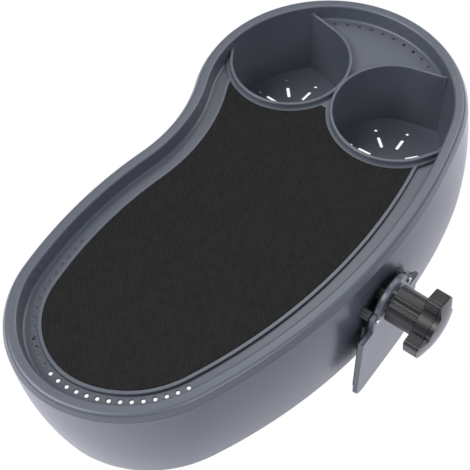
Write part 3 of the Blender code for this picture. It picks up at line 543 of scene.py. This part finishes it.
# A narrow groove runs round the deck's foot, up to the cups.
seam = piece("seam", sweep([(DECK_EDGE - SEAM_WIDTH, GUTTER_TOP + SEAM_DEPTH),
                            (DECK_EDGE - SEAM_WIDTH, GUTTER_TOP - SEAM_DEPTH),
                            (DECK_EDGE + SEAM_WIDTH, GUTTER_TOP - SEAM_DEPTH),
                            (DECK_EDGE + SEAM_WIDTH, GUTTER_TOP + SEAM_DEPTH)]))
for cup, _ in CUPS:
    cut(seam, disc(cup, STRIP_RADIUS, BELOW_FLOOR, ABOVE_DECK))
cut(seam, tail_side(CUP_X), "INTERSECT")
combine(tray_floor, seam)
finish_edges(tray_floor)
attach(tray_floor, "tray")


# Deck of the inner tray
# The raised middle of the moulding. It stands 2.4 mm above the gutter, wraps in a narrow strip
# round the cup dividers, and is sunk by 0.8 mm where the mat is laid.
DECK_TOP = 0.0880
DECK_DRAFT = 0.0003
DECK_BORDER = 0.0021
DECK_ROUND = 0.0003
MAT_RECESS = 0.0008
MAT_EDGE = DECK_EDGE + DECK_DRAFT + DECK_BORDER
mat_end = CUP_X - DIVIDER_RADIUS / 2
deck = piece("tray_deck", sweep([(DECK_EDGE, GUTTER_TOP - FLOOR_SKIN / 2),
                                 (DECK_EDGE, GUTTER_TOP), (DECK_EDGE + DECK_DRAFT, DECK_TOP)],
                                closed=False), GREY_ABS)
for cup, _ in CUPS:
    cut(deck, disc(cup, STRIP_RADIUS, GUTTER_TOP - FLOOR_SKIN / 2, DECK_TOP), "UNION")
cut(deck, slab(RIM_WIDTH - BEHIND_WALL, BELOW_FLOOR, ABOVE_DECK), "INTERSECT")
cut(deck, tail_side(CUP_X), "INTERSECT")
for cup, side in CUPS:
    cut(deck, column(well_outline(cup, side), BELOW_FLOOR, ABOVE_DECK))
recess = piece("recess", slab(MAT_EDGE, DECK_TOP - MAT_RECESS, DECK_TOP + MAT_RECESS))
for cup, _ in CUPS:
    cut(recess, disc(cup, STRIP_RADIUS, BELOW_FLOOR, ABOVE_DECK))
cut(recess, tail_side(mat_end), "INTERSECT")
combine(deck, recess)
finish_edges(deck, DECK_ROUND)
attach(deck, "tray")


# Cup wells
# Still the same moulding: two wells side by side, each a 2.4 mm wall that runs three fifths of
# the way round and then straight into the rim, with a flat floor 58 mm down. The floor has
# eight slots and eight holes that let water out.
DIVIDER_TOP = 0.0920
TOP_ROUND = 0.0007
SLOT_COUNT = 8
SLOT_TURN = math.radians(3.0)
SLOT_INNER = 0.0140
SLOT_OUTER = 0.0250
SLOT_WIDTH = 0.0025
WELL_HOLE_RING = 0.0315
NUB_RADIUS = 0.0018
NUB_HEIGHT = 0.0120
half = DIVIDER_THICKNESS / 2
below_well, above_well = WELL_FLOOR - FLOOR_SKIN, WELL_FLOOR + FLOOR_SKIN
well_section = [(-half, below_well), (half, below_well)]
well_section += arc_points((half - TOP_ROUND, DIVIDER_TOP - TOP_ROUND), TOP_ROUND, 0, 90, steps=4)
well_section += arc_points((TOP_ROUND - half, DIVIDER_TOP - TOP_ROUND), TOP_ROUND, 90, 180,
                           steps=4)
for number, (cup, side) in enumerate(CUPS, start=1):
    wall = bmesh.new()
    start, angle = divider_ends(side)
    verts = []
    for offset, height in well_section:
        spot = polar(cup, DIVIDER_RADIUS + offset, start)
        verts.append(wall.verts.new((spot.x, spot.y, height)))
    first_face = wall.faces.new(verts)
    spun = bmesh.ops.spin(wall, geom=list(first_face.verts) + list(first_face.edges) + [first_face],
                          cent=(cup.x, cup.y, 0), axis=(0, 0, 1), angle=angle, steps=90,
                          use_merge=False)
    last_face = [g for g in spun["geom_last"] if isinstance(g, bmesh.types.BMFace)][0]
    for end, at_start in ((first_face, True), (last_face, False)):
        foot, way, run = tangent_run(cup, side, at_start, RIM_WIDTH - RIM_SKIN / 2)
        extrude(wall, [end], (way.x * run, way.y * run, 0))
        bmesh.ops.delete(wall, geom=[end], context="FACES_ONLY")
    bmesh.ops.recalc_face_normals(wall, faces=wall.faces)
    divider = piece(f"cup_divider_{number}", wall, GREY_ABS)
    # A small round bead stands where each end meets the rim.
    for at_start in (True, False):
        foot, way, run = tangent_run(cup, side, at_start, RIM_WIDTH)
        cut(divider, disc(foot + way * run, NUB_RADIUS, DIVIDER_TOP - NUB_HEIGHT,
                          DIVIDER_TOP + TOP_ROUND / 2, HOLE_SIDES), "UNION")
    finish_edges(divider)
    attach(divider, "tray")

    floor = piece(f"cup_floor_{number}",
                  column(well_outline(cup, side), WELL_FLOOR - DRAINED_SKIN, WELL_FLOOR), GREY_ABS)
    cut(floor, slab(RIM_WIDTH - RIM_SKIN / 2, below_well, above_well), "INTERSECT")
    drains = []
    for i in range(SLOT_COUNT):
        angle = -side * SLOT_TURN + 2 * math.pi * i / SLOT_COUNT
        drains.append(disc(polar(cup, WELL_HOLE_RING, angle), DRAIN_RADIUS, below_well, above_well,
                           HOLE_SIDES))
        ends = arc_points((SLOT_OUTER - SLOT_WIDTH / 2, 0), SLOT_WIDTH / 2, -90, 90, steps=8)
        ends += arc_points((SLOT_INNER + SLOT_WIDTH / 2, 0), SLOT_WIDTH / 2, 90, 270, steps=8)
        slot = column(ends, below_well, above_well)
        bmesh.ops.rotate(slot, verts=slot.verts, matrix=Matrix.Rotation(angle, 3, "Z"))
        bmesh.ops.translate(slot, verts=slot.verts, vec=(cup.x, cup.y, 0))
        drains.append(slot)
    cut(floor, gather(drains))
    finish_edges(floor)
    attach(floor, "tray")


# Outer shell
# The second moulding, in polished grey ABS: a bulged wall, open underneath, that leans out at
# the cup end and in at the tail. The rim's edge sits on it. It has the flat seat that meets the
# tub, and inside it the clamp's boss and a lug under each post.
CLEARANCE = 0.0003
CUT_REACH = 0.0100
WALL_THICKNESS = 0.0026
WALL_TOP_THICKNESS = 0.00416
WALL_STEPS = 30
FOOT_SPREAD = 0.00233
FOOT_SPREAD_SLOPE = 0.0360
WALL_BULGE = 0.00276
FOOT_ROUND = 0.0009
FOOT_FLAT = 0.00063
FOOT_CORNER = (0.00018, 0.000315)
LUG_THICKNESS = 0.0030
LUG_WIDTH = 0.0120
LUG_REACH = 0.0060
LUG_HOLE_RADIUS = 0.0018
CLAMP_X = -datum.x
CLAMP_Z = 0.0674
SEAT_Y = -datum.y
SEAT_Z = 0.0280
SEAT_WIDTH = 0.0340
SEAT_HEIGHT = 0.0360
SEAT_DEPTH = 0.0080
SEAT_BACK_WIDTH = 0.0520
SEAT_BACK_BOTTOM = 0.0060
BOSS_WIDTH = 0.0560
BOSS_BOTTOM = 0.0480
BOSS_TOP = 0.0800
BOSS_DEPTH = 0.0110
BOLT_RADIUS = 0.0040
INSERT_HOLE_RADIUS = 0.0065
INSERT_HOLE_DEPTH = 0.0080
PIN_X = 0.0186
PIN_Z = 0.0010
PIN_RADIUS = 0.0020
BUSH_HOLE_RADIUS = 0.0038
BORE_REACH = 0.0300
BORE_SIDES = 32


def wall_spread(x, height):
    """How far the wall stands out from the rim's outline."""
    up_wall = height / RIM_EDGE
    foot = FOOT_SPREAD + FOOT_SPREAD_SLOPE * x
    return foot * (1 - up_wall) + 4 * WALL_BULGE * up_wall * (1 - up_wall)


def outward_at(spot):
    """The plan's outward direction at a point near its outline."""
    near = []
    for centre, radius, start, angle, sign in ARCS:
        turned = (bearing(centre, spot) - start) * sign
        off = abs(math.remainder(turned - abs(angle) / 2, 2 * math.pi)) - abs(angle) / 2
        near.append((max(0.0, round(off, 4)), abs(radius - (spot - centre).length), centre, sign))
    centre, sign = min(near, key=lambda one: one[:2])[2:]
    return (spot - centre).normalized() * sign


def bulged(mesh):
    """Carries a shape that follows the outline out to the wall's bulge."""
    for vert in mesh.verts:
        vert.co.xy += outward_at(vert.co.xy) * wall_spread(vert.co.x, vert.co.z)
    return mesh


def barrel(radius, low, high, x, z):
    """A closed cylinder along Y."""
    mesh = disc((0, 0), radius, low, high, BORE_SIDES)
    bmesh.ops.rotate(mesh, verts=mesh.verts, matrix=Matrix.Rotation(math.pi / 2, 3, "X"))
    bmesh.ops.scale(mesh, verts=mesh.verts, vec=(1, -1, 1))
    bmesh.ops.recalc_face_normals(mesh, faces=mesh.faces)
    bmesh.ops.translate(mesh, verts=mesh.verts, vec=(x, 0, z))
    return mesh


def clamp_block(width, bottom, top, front, depth):
    """A block behind the clamp; front and depth are measured inwards from the seat."""
    return block((CLAMP_X - width / 2, SEAT_Y + front, bottom),
                 (CLAMP_X + width / 2, SEAT_Y + depth, top))


wall_top = RIM_EDGE - CLEARANCE
heights = [FOOT_ROUND + (wall_top - FOOT_ROUND) * i / WALL_STEPS for i in range(WALL_STEPS + 1)]
shell_section = [(0.0, h) for h in heights]
shell_section += [(WALL_TOP_THICKNESS, wall_top)]
shell_section += [(WALL_THICKNESS, h) for h in heights[-3::-4]]
shell_section += [(WALL_THICKNESS - FOOT_FLAT, 0.0), (FOOT_FLAT, 0.0), FOOT_CORNER]
outer_shell = piece("outer_wall", bulged(sweep(shell_section)), WALL_ABS)
lug_top = POST_FOOT - CLEARANCE
lugs = []
for spot, away in posts:
    lug = block((-POST_RADIUS, -LUG_WIDTH / 2, lug_top - LUG_THICKNESS),
                (POST_INSET + LUG_REACH, LUG_WIDTH / 2, lug_top))
    bmesh.ops.rotate(lug, verts=lug.verts, matrix=Matrix.Rotation(away, 3, "Z"))
    bmesh.ops.translate(lug, verts=lug.verts, vec=(spot.x, spot.y, 0))
    lugs.append(lug)
boss = clamp_block(BOSS_WIDTH, BOSS_BOTTOM, BOSS_TOP, -WALL_BULGE, BOSS_DEPTH)
seat_back = clamp_block(SEAT_BACK_WIDTH, SEAT_BACK_BOTTOM, BOSS_BOTTOM + CLEARANCE, -WALL_BULGE,
                        SEAT_DEPTH)
for form in (boss, seat_back, gather(lugs)):
    inner = piece("inner", form)
    core = sweep([(WALL_THICKNESS / 2, h) for h in heights], closed=False)
    cut(inner, bulged(core), "INTERSECT")
    combine(outer_shell, inner, "UNION")
seat_low, seat_high = SEAT_Z - SEAT_HEIGHT / 2, SEAT_Z + SEAT_HEIGHT / 2
cut(outer_shell, clamp_block(SEAT_WIDTH, seat_low, seat_high, 0, SEAT_DEPTH - CLEARANCE), "UNION")
cut(outer_shell, clamp_block(SEAT_WIDTH, seat_low, seat_high, -SEAT_DEPTH, 0))
boss_end = SEAT_Y + BOSS_DEPTH
cut(outer_shell, barrel(BOLT_RADIUS + CLEARANCE, SEAT_Y - BORE_REACH, SEAT_Y + BORE_REACH,
                        CLAMP_X, CLAMP_Z))
cut(outer_shell, barrel(INSERT_HOLE_RADIUS, boss_end - INSERT_HOLE_DEPTH, boss_end + CUT_REACH,
                        CLAMP_X, CLAMP_Z))
for side in (-1, 1):
    cut(outer_shell, barrel(BUSH_HOLE_RADIUS, SEAT_Y - BORE_REACH, SEAT_Y + BORE_REACH,
                            CLAMP_X + side * PIN_X, CLAMP_Z + PIN_Z))
cut(outer_shell, gather([disc(spot, LUG_HOLE_RADIUS, POST_FOOT - CUT_REACH, POST_FOOT + CUT_REACH,
                              HOLE_SIDES) for spot, _ in posts]))
finish_edges(outer_shell)
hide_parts("outer_shell")
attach(outer_shell, "tray")


# Deck mat
# A sheet of black vinyl-coated mesh, woven and heat-set, cut to the deck's shape and laid in
# its recess so that cups don't slide. Its warp yarns stand up as fine ribs, dull dark grey on
# the crest; the near black in the hollows is painted shade between the yarns.
MAT_THICKNESS = 0.0010
MAT_ROUND = 0.0002
YARN_PITCH_MM = 1.515
# A wave pattern of scale 1 turns through 20 radians in each metre.
WAVE_TURN = 20
WARP_TURN = math.radians(45.0)
WEAVE_DEPTH = 0.00022
WEAR_MM = 3.846
CREST_COLOUR = "#242426"
HOLLOW_SHADE_COLOUR = "#050505"
HOLLOW_SHADE_BELOW = 0.30
VINYL_ROUGHNESS = 0.66
VINYL_IOR = 1.36


def woven_vinyl():
    """Black vinyl mesh: warp ribs crossed by weft, each crossing a small rounded knuckle, with
    painted shade that darkens the hollows.
    """
    material, tree, place = start_material("woven_vinyl_black")
    turned = add_node(tree, "ShaderNodeMapping", {"Vector": place, "Rotation": (0, 0, -WARP_TURN)})
    warp, weft = [add_node(tree, "ShaderNodeTexWave",
                           {"Vector": turned.outputs["Vector"],
                            "Scale": 2 * math.pi * 1000 / (WAVE_TURN * YARN_PITCH_MM)},
                           wave_type="BANDS", bands_direction=across, wave_profile="SIN")
                  for across in ("Y", "X")]
    knuckle = add_node(tree, "ShaderNodeMath", {0: warp.outputs["Fac"], 1: weft.outputs["Fac"]},
                       operation="MULTIPLY")
    height = add_node(tree, "ShaderNodeMath", {0: knuckle.outputs["Value"],
                                               1: warp.outputs["Fac"]}, operation="ADD")
    wear = add_node(tree, "ShaderNodeTexNoise", {"Vector": place, "Scale": 1000 / WEAR_MM,
                                                 "Detail": 2.0})
    shade_and_wear = add_node(tree, "ShaderNodeMath", {0: height.outputs["Value"],
                                             1: wear.outputs["Fac"]}, operation="MULTIPLY")
    # The colour follows the weave's height, broken up by random noise: the hollows are painted near
    # black as shade between the yarns.
    ramp = add_node(tree, "ShaderNodeValToRGB", {"Fac": shade_and_wear.outputs["Value"]})
    hollow, crest = ramp.color_ramp.elements
    hollow.position, hollow.color = HOLLOW_SHADE_BELOW, linear(HOLLOW_SHADE_COLOUR)
    crest.position, crest.color = 1.0, linear(CREST_COLOUR)
    bump = add_node(tree, "ShaderNodeBump", {"Height": height.outputs["Value"], "Strength": 1.0,
                                             "Distance": WEAVE_DEPTH})
    shader = add_node(tree, "ShaderNodeBsdfPrincipled",
                      {"Base Color": ramp.outputs["Color"], "Roughness": VINYL_ROUGHNESS,
                       "Normal": bump.outputs["Normal"], "IOR": VINYL_IOR})
    add_node(tree, "ShaderNodeOutputMaterial", {"Surface": shader.outputs["BSDF"]})
    return material


mat_low = DECK_TOP - MAT_RECESS + CLEARANCE
mat = piece("woven_deck_mat", slab(MAT_EDGE + CLEARANCE, mat_low, mat_low + MAT_THICKNESS))
for cup, _ in CUPS:
    cut(mat, disc(cup, STRIP_RADIUS + CLEARANCE, BELOW_FLOOR, ABOVE_DECK))
cut(mat, tail_side(mat_end - CLEARANCE), "INTERSECT")
finish_edges(mat, MAT_ROUND)
mat.data.materials.append(woven_vinyl())
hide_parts("deck_mat")
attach(mat, "tray")


# Jaw plate
# A plate moulded in the same polished ABS: an arch round the knob's hub, a short neck, square
# shoulders and a rounded foot, with softened front edges. It slides on two pins.
jaw_low, jaw_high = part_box("jaw_plate")
PLATE_THICKNESS = jaw_high.y - jaw_low.y
PLATE_CORNER = 0.0090
FRONT_ROUND = 0.0012
ARCH_RADIUS = 0.0184
NECK_HALF_WIDTH = 0.0222
NECK_TOP = 0.0046
SHOULDER_HALF_WIDTH = (jaw_high.x - jaw_low.x) / 2
SHOULDER_DROP = 0.0108
RING_HOLE_RADIUS = 0.0068
RING_HOLE_START = 0.0024
PIN_HOLES = [(PIN_RADIUS + CLEARANCE, -CUT_REACH, side * PIN_X, PIN_Z) for side in (1, -1)]
axis_z = jaw_high.z - ARCH_RADIUS
hub_axis = Vector(((jaw_low.x + jaw_high.x) / 2, jaw_low.y, axis_z))
plate_drop = axis_z - jaw_low.z


def jaw_outline(inset, foot_lift=0.0):
    """The jaw from the front, measured from the knob's axis."""
    arch = ARCH_RADIUS - inset
    foot = -plate_drop + inset + foot_lift
    wide = SHOULDER_HALF_WIDTH - inset
    neck = NECK_HALF_WIDTH - inset
    corner = PLATE_CORNER - inset
    right = arc_points((wide - corner, foot + corner), corner, -90, 0, steps=8)
    right += [(wide, -SHOULDER_DROP - inset), (neck, -SHOULDER_DROP - inset),
              (neck, NECK_TOP - inset)]
    first = math.degrees(math.asin((NECK_TOP - inset) / arch))
    right += arc_points((0, 0), arch, first, 90, steps=24)
    return right + [(-x, z) for x, z in right[::-1][1:]]


def stack(levels):
    """Bridges outlines of X and Z, each at its own Y, and closes both ends."""
    mesh = bmesh.new()
    rings = []
    for points, depth in levels:
        verts = [mesh.verts.new((x, depth, z)) for x, z in points]
        rings.append([mesh.edges.new(pair) for pair in zip(verts, verts[1:] + verts[:1])])
    for low, high in zip(rings, rings[1:]):
        bmesh.ops.bridge_loops(mesh, edges=low + high)
    for ring in (rings[0], rings[-1]):
        bmesh.ops.holes_fill(mesh, edges=ring, sides=0)
    bmesh.ops.recalc_face_normals(mesh, faces=mesh.faces)
    return mesh


def rounded_levels(outline, start, end, radius, steps):
    """Levels of a solid from a sharp start to an end with a rounded edge."""
    way = 1 if end > start else -1
    levels = [(outline(0.0), start)]
    for i in range(steps + 1):
        a = math.pi / 2 * i / steps
        levels.append((outline(radius * (1 - math.cos(a))),
                       end - way * radius * (1 - math.sin(a))))
    return levels


def bore_jaw(target, holes):
    """Bores a piece of the jaw; a hole is its radius, its start and its place from the axis."""
    for radius, start, x, z in holes:
        cut(target, barrel(radius, start, CUT_REACH, x, z), lift=hub_axis)


plate_mesh = stack(rounded_levels(jaw_outline, PLATE_THICKNESS, 0.0, FRONT_ROUND, steps=5))
jaw_plate = piece("clamp_jaw", plate_mesh, WALL_ABS, lift=hub_axis)
bore_jaw(jaw_plate, [(BOLT_RADIUS + CLEARANCE, -CUT_REACH, 0, 0),
                     (RING_HOLE_RADIUS, RING_HOLE_START, 0, 0)] + PIN_HOLES)
finish_edges(jaw_plate)
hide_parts("jaw_plate")
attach(jaw_plate, "jaw")


# Jaw pad
# Black rubber, moulded flat and stuck on the back of the jaw so that it grips the tub's wall.
# It is matt, with no highlight on its edge.
PAD_INSET = 0.0012
PAD_FOOT_LIFT = 0.0070
RUBBER = moulded_plastic("moulded_rubber_black", "#1B1B1C", roughness=0.7, grain_mm=0.3,
                         grain_depth_mm=0.01, coat=0.0)
pad_outline = jaw_outline(PAD_INSET, PAD_FOOT_LIFT)
pad_mesh = stack([(pad_outline, corner.y - hub_axis.y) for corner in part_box("jaw_pad")])
jaw_pad = piece("grip_pad", pad_mesh, RUBBER, lift=hub_axis)
bore_jaw(jaw_pad, [(RING_HOLE_RADIUS, -CUT_REACH, 0, 0)] + PIN_HOLES)
finish_edges(jaw_pad)
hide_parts("jaw_pad")
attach(jaw_pad, "jaw")


# Knob
# A star knob moulded in black glass-filled nylon: three lobes on a long hub with a groove in
# line with each hollow. The filled nylon has a satin face that shows long soft streaks of light.
KNOB_BLACK = moulded_plastic("moulded_nylon_black", "#1A1A1C", roughness=0.36, grain_mm=0.25,
                             grain_depth_mm=0.003, coat=0.0)
HUB_RADIUS = 0.0131
HEAD_THICKNESS = 0.0095
HEAD_EDGE = 0.0007
GROOVE_DEPTH = 0.0016
GROOVE_HALF = math.radians(13)
GROOVE_TURN = math.radians(118.0)
LOBES = 3
LOBE_TURN = math.radians(70.0)
LOBE_REACH = 0.0226
LOBE_HALF_WIDTH = 0.0080
LOBE_CORNER = 0.0030
ROOT_HALF_WIDTH = 0.0070
CORE_RADIUS = 0.0150
knob_low, knob_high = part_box("knob_body")
hub_start = knob_high.y - hub_axis.y
head_start = knob_low.y - hub_axis.y
head_end = head_start + HEAD_THICKNESS


def hub_points(steps=144):
    """The hub's outline with its three grooves."""
    points = []
    apart = 2 * math.pi / LOBES
    for i in range(steps):
        angle = GROOVE_TURN + 2 * math.pi * i / steps
        off = math.remainder(angle - GROOVE_TURN, apart) / GROOVE_HALF
        points.append(tuple(polar((0, 0), HUB_RADIUS - GROOVE_DEPTH * max(0, 1 - off ** 2),
                                  angle)))
    return points


def head_points(inset=0.0, steps=8):
    """The head's outline: three lobes with rounded corners and hollows between them."""
    points = []
    reach = LOBE_REACH - inset
    half_width = LOBE_HALF_WIDTH - inset
    corner = LOBE_CORNER - inset
    side = math.asin((ROOT_HALF_WIDTH - inset) / (CORE_RADIUS - inset))
    span = 2 * math.pi / LOBES - 2 * side
    for lobe in range(LOBES):
        middle = LOBE_TURN + 2 * math.pi * lobe / LOBES
        turn_lobe = Matrix.Rotation(middle, 2)
        profile = arc_points((reach - corner, -half_width + corner), corner, -90, 0, steps=6)
        profile += arc_points((reach - corner, half_width - corner), corner, 0, 90, steps=6)
        points += [tuple(turn_lobe @ Vector(p)) for p in profile]
        points += [tuple(polar((0, 0), CORE_RADIUS - inset, middle + side + span * i / steps))
                   for i in range(steps + 1)]
    return points


head_levels = rounded_levels(head_points, head_start, head_end, HEAD_EDGE, steps=4)
hub_mesh = stack([(hub_points(), hub_start), (hub_points(), head_end - HEAD_THICKNESS / 2)])
knob = piece("star_knob", gather([hub_mesh, stack(head_levels)]), KNOB_BLACK, lift=hub_axis)
finish_edges(knob)
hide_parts("knob_body")
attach(knob, "knob")


# Knob cover
# A shallow dome in the head's shape, moulded in the same nylon with a polished face, that snaps
# over the bolt's head. It is glossier than the knob and its rounded edge catches the light.
CAP_BLACK = moulded_plastic("polished_cover_black", "#1A1A1D", roughness=0.28, grain_mm=0.5,
                            grain_depth_mm=0.0002, coat=0.4)
CAP_DOME = 0.0042
CAP_EDGE = 0.0008
CAP_ROUND = 0.0004
CAP_RINGS = 24
CAP_OVERHANG = 1.04
cap_start = head_start - CLEARANCE
dome = bmesh.new()
profile = [(0.0, CAP_EDGE + CAP_DOME)]
for i in range(1, CAP_RINGS + 1):
    out = LOBE_REACH * CAP_OVERHANG * i / CAP_RINGS
    profile.append((out, CAP_EDGE + CAP_DOME * (1 - (out / LOBE_REACH) ** 2)))
profile += [(profile[-1][0], 0.0), (0.0, 0.0)]
verts = [dome.verts.new((x, cap_start - rise, 0)) for x, rise in profile]
edges = [dome.edges.new(pair) for pair in zip(verts, verts[1:])]
bmesh.ops.spin(dome, geom=verts + edges, cent=(0, 0, 0), axis=(0, 1, 0), angle=2 * math.pi,
               steps=120, use_merge=True)
bmesh.ops.remove_doubles(dome, verts=dome.verts, dist=WELD)
bmesh.ops.recalc_face_normals(dome, faces=dome.faces)
cap = piece("knob_cover", dome, CAP_BLACK, lift=hub_axis)
star = stack([(head_points(), cap_start + CUT_REACH), (head_points(), cap_start - CUT_REACH)])
cut(cap, star, "INTERSECT", lift=hub_axis)
finish_edges(cap, CAP_ROUND, sharp=50.0, segments=3)
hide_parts("knob_cap")
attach(cap, "knob")


# Hardware
# Washer, ring, pins and screws are zinc-plated steel, bright and a little streaked. The bolt is
# black and the bushes are dark grey nylon with a dull face: partly their own colour and partly
# painted shade, kept dark to match the shade in the gap behind the jaw, where nothing bright
# shows. The insert is turned brass.
# The marks are drawn about 1 mm apart, coarser than real ones, so that they show.
MARK_MM = 1.111
MARK_DEPTH = 0.00001
MARK_STRENGTH = 0.1
MARK_SMOOTHER = 0.06
MARK_ROUGHER = 0.08


def turned_metal(name, colour, roughness):
    """Metal with fine turning marks and a slightly uneven surface."""
    material, tree, place = start_material(name)
    marks = add_node(tree, "ShaderNodeTexNoise", {"Vector": place, "Scale": 1000 / MARK_MM,
                                                  "Detail": 4.0})
    spread = add_node(tree, "ShaderNodeMapRange", {"Value": marks.outputs["Fac"],
                                                   "To Min": roughness - MARK_SMOOTHER,
                                                   "To Max": roughness + MARK_ROUGHER})
    bump = add_node(tree, "ShaderNodeBump", {"Height": marks.outputs["Fac"],
                                             "Strength": MARK_STRENGTH, "Distance": MARK_DEPTH})
    shader = add_node(tree, "ShaderNodeBsdfPrincipled",
                      {"Base Color": linear(colour), "Metallic": 1.0,
                       "Roughness": spread.outputs["Result"], "Normal": bump.outputs["Normal"]})
    add_node(tree, "ShaderNodeOutputMaterial", {"Surface": shader.outputs["BSDF"]})
    return material


STEEL = turned_metal("zinc_plated_steel", "#B9BCC2", roughness=0.30)
# The bolt's and the bushes' dark colours are partly painted shade for the gap behind the jaw.
DARK_STEEL_AND_SHADE = turned_metal("dark_steel_and_painted_shade", "#3A3B3F", roughness=0.42)
BRASS = turned_metal("turned_brass", "#C9A45C", roughness=0.28)
NYLON_AND_SHADE = moulded_plastic("moulded_nylon_grey_and_painted_shade", "#33363C", roughness=0.5, grain_mm=0.3,
                        grain_depth_mm=0.004, coat=0.0)
finishes = {"clamp_bolt": DARK_STEEL_AND_SHADE, "thread_insert": BRASS,
            "guide_bush_left": NYLON_AND_SHADE, "guide_bush_right": NYLON_AND_SHADE}
for name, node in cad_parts.items():
    if not node.hide_render:
        node.data.materials.clear()
        node.data.materials.append(finishes.get(name, STEEL))


# Floor and light
# A white sweep under four large soft lamps, as for a product photograph. The camera sees it pure
# white. The tray mirrors it a little bluer, and nearly twice as bright beyond the tray's ends,
# as the polished wall shows it in the photograph.
FLOOR_SIZE = 3.0
FLOOR_GAP = 0.0003
# Painted reflection: glossy rays see the floor a little bluer and, beyond the tray's ends, up to
# nearly twice as bright, a pool of light that no lamp casts.
MIRRORED_MIDDLE = 1.0
MIRRORED_SIDES = 1.9
MIDDLE_UNTIL = 0.16
SIDES_FROM = 0.32
ROOM_LIGHT = 0.20
AIM = Vector((0, 0.1, 0))
# Each lamp: its name, place, diameter in metres and power in watts.
LAMPS = (("key", (-0.90, 0.85, 1.50), 1.4, 30),
         ("fill", (-0.40, -1.25, 1.25), 1.2, 12),
         ("side", (1.30, -0.10, 1.10), 1.0, 8),
         ("back", (0.62, 0.53, 1.45), 0.7, 4))
ground_mesh = bmesh.new()
bmesh.ops.create_grid(ground_mesh, x_segments=1, y_segments=1, size=FLOOR_SIZE)
lowest = min(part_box(name)[0].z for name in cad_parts)
ground = piece("floor", ground_mesh, lift=(0, 0, lowest - FLOOR_GAP))

paper, tree, place = start_material("white_paper")
path = add_node(tree, "ShaderNodeLightPath")
matt = add_node(tree, "ShaderNodeBsdfDiffuse", {"Color": linear("#F2F2F3")})
tint = add_node(tree, "ShaderNodeMixRGB", {0: path.outputs["Is Glossy Ray"], 1: linear("#FFFFFF"),
                                           2: linear("#F1F1FD")})
across = add_node(tree, "ShaderNodeSeparateXYZ", {"Vector": place})
aside = add_node(tree, "ShaderNodeMath", {0: across.outputs["X"]}, operation="ABSOLUTE")
# Painted reflection: the floor's glow for glossy rays rises towards the sides.
painted_side_glow = add_node(tree, "ShaderNodeMapRange",
                 {"Value": aside.outputs["Value"], "From Min": MIDDLE_UNTIL,
                  "From Max": SIDES_FROM, "To Min": MIRRORED_MIDDLE - 1,
                  "To Max": MIRRORED_SIDES - 1})
strength = add_node(tree, "ShaderNodeMath", {0: path.outputs["Is Glossy Ray"],
                                             1: painted_side_glow.outputs["Result"], 2: 1.0},
                    operation="MULTIPLY_ADD")
glow = add_node(tree, "ShaderNodeEmission", {"Color": tint.outputs["Color"],
                                             "Strength": strength.outputs["Value"]})
through = add_node(tree, "ShaderNodeMath", {0: path.outputs["Is Camera Ray"],
                                            1: path.outputs["Is Transmission Ray"]},
                   operation="MAXIMUM")
seen = add_node(tree, "ShaderNodeMath", {0: through.outputs["Value"],
                                         1: path.outputs["Is Glossy Ray"]}, operation="MAXIMUM")
shown = add_node(tree, "ShaderNodeMixShader", {0: seen.outputs["Value"], 1: matt.outputs["BSDF"],
                                               2: glow.outputs["Emission"]})
add_node(tree, "ShaderNodeOutputMaterial", {"Surface": shown.outputs["Shader"]})
paper.cycles.emission_sampling = "NONE"
ground.data.materials.append(paper)

world = bpy.data.worlds.new("studio")
world.use_nodes = True
bpy.context.scene.world = world
tree = world.node_tree
tree.nodes.clear()
path = add_node(tree, "ShaderNodeLightPath")
room = add_node(tree, "ShaderNodeBackground", {"Color": (0.92, 0.95, 1, 1), "Strength": ROOM_LIGHT})
white = add_node(tree, "ShaderNodeBackground", {"Color": (1, 1, 1, 1), "Strength": 1.0})
shown = add_node(tree, "ShaderNodeMixShader", {0: path.outputs["Is Camera Ray"],
                                               1: room.outputs["Background"],
                                               2: white.outputs["Background"]})
add_node(tree, "ShaderNodeOutputWorld", {"Surface": shown.outputs["Shader"]})

for name, place, size, power in LAMPS:
    lamp = bpy.data.lights.new(name, "AREA")
    lamp.shape = "DISK"
    lamp.size = size
    lamp.energy = power
    made = bpy.data.objects.new(name, lamp)
    bpy.context.scene.collection.objects.link(made)
    way = (AIM - Vector(place)).to_track_quat("-Z", "Y")
    made.matrix_world = Matrix.Translation(place) @ way.to_matrix().to_4x4()
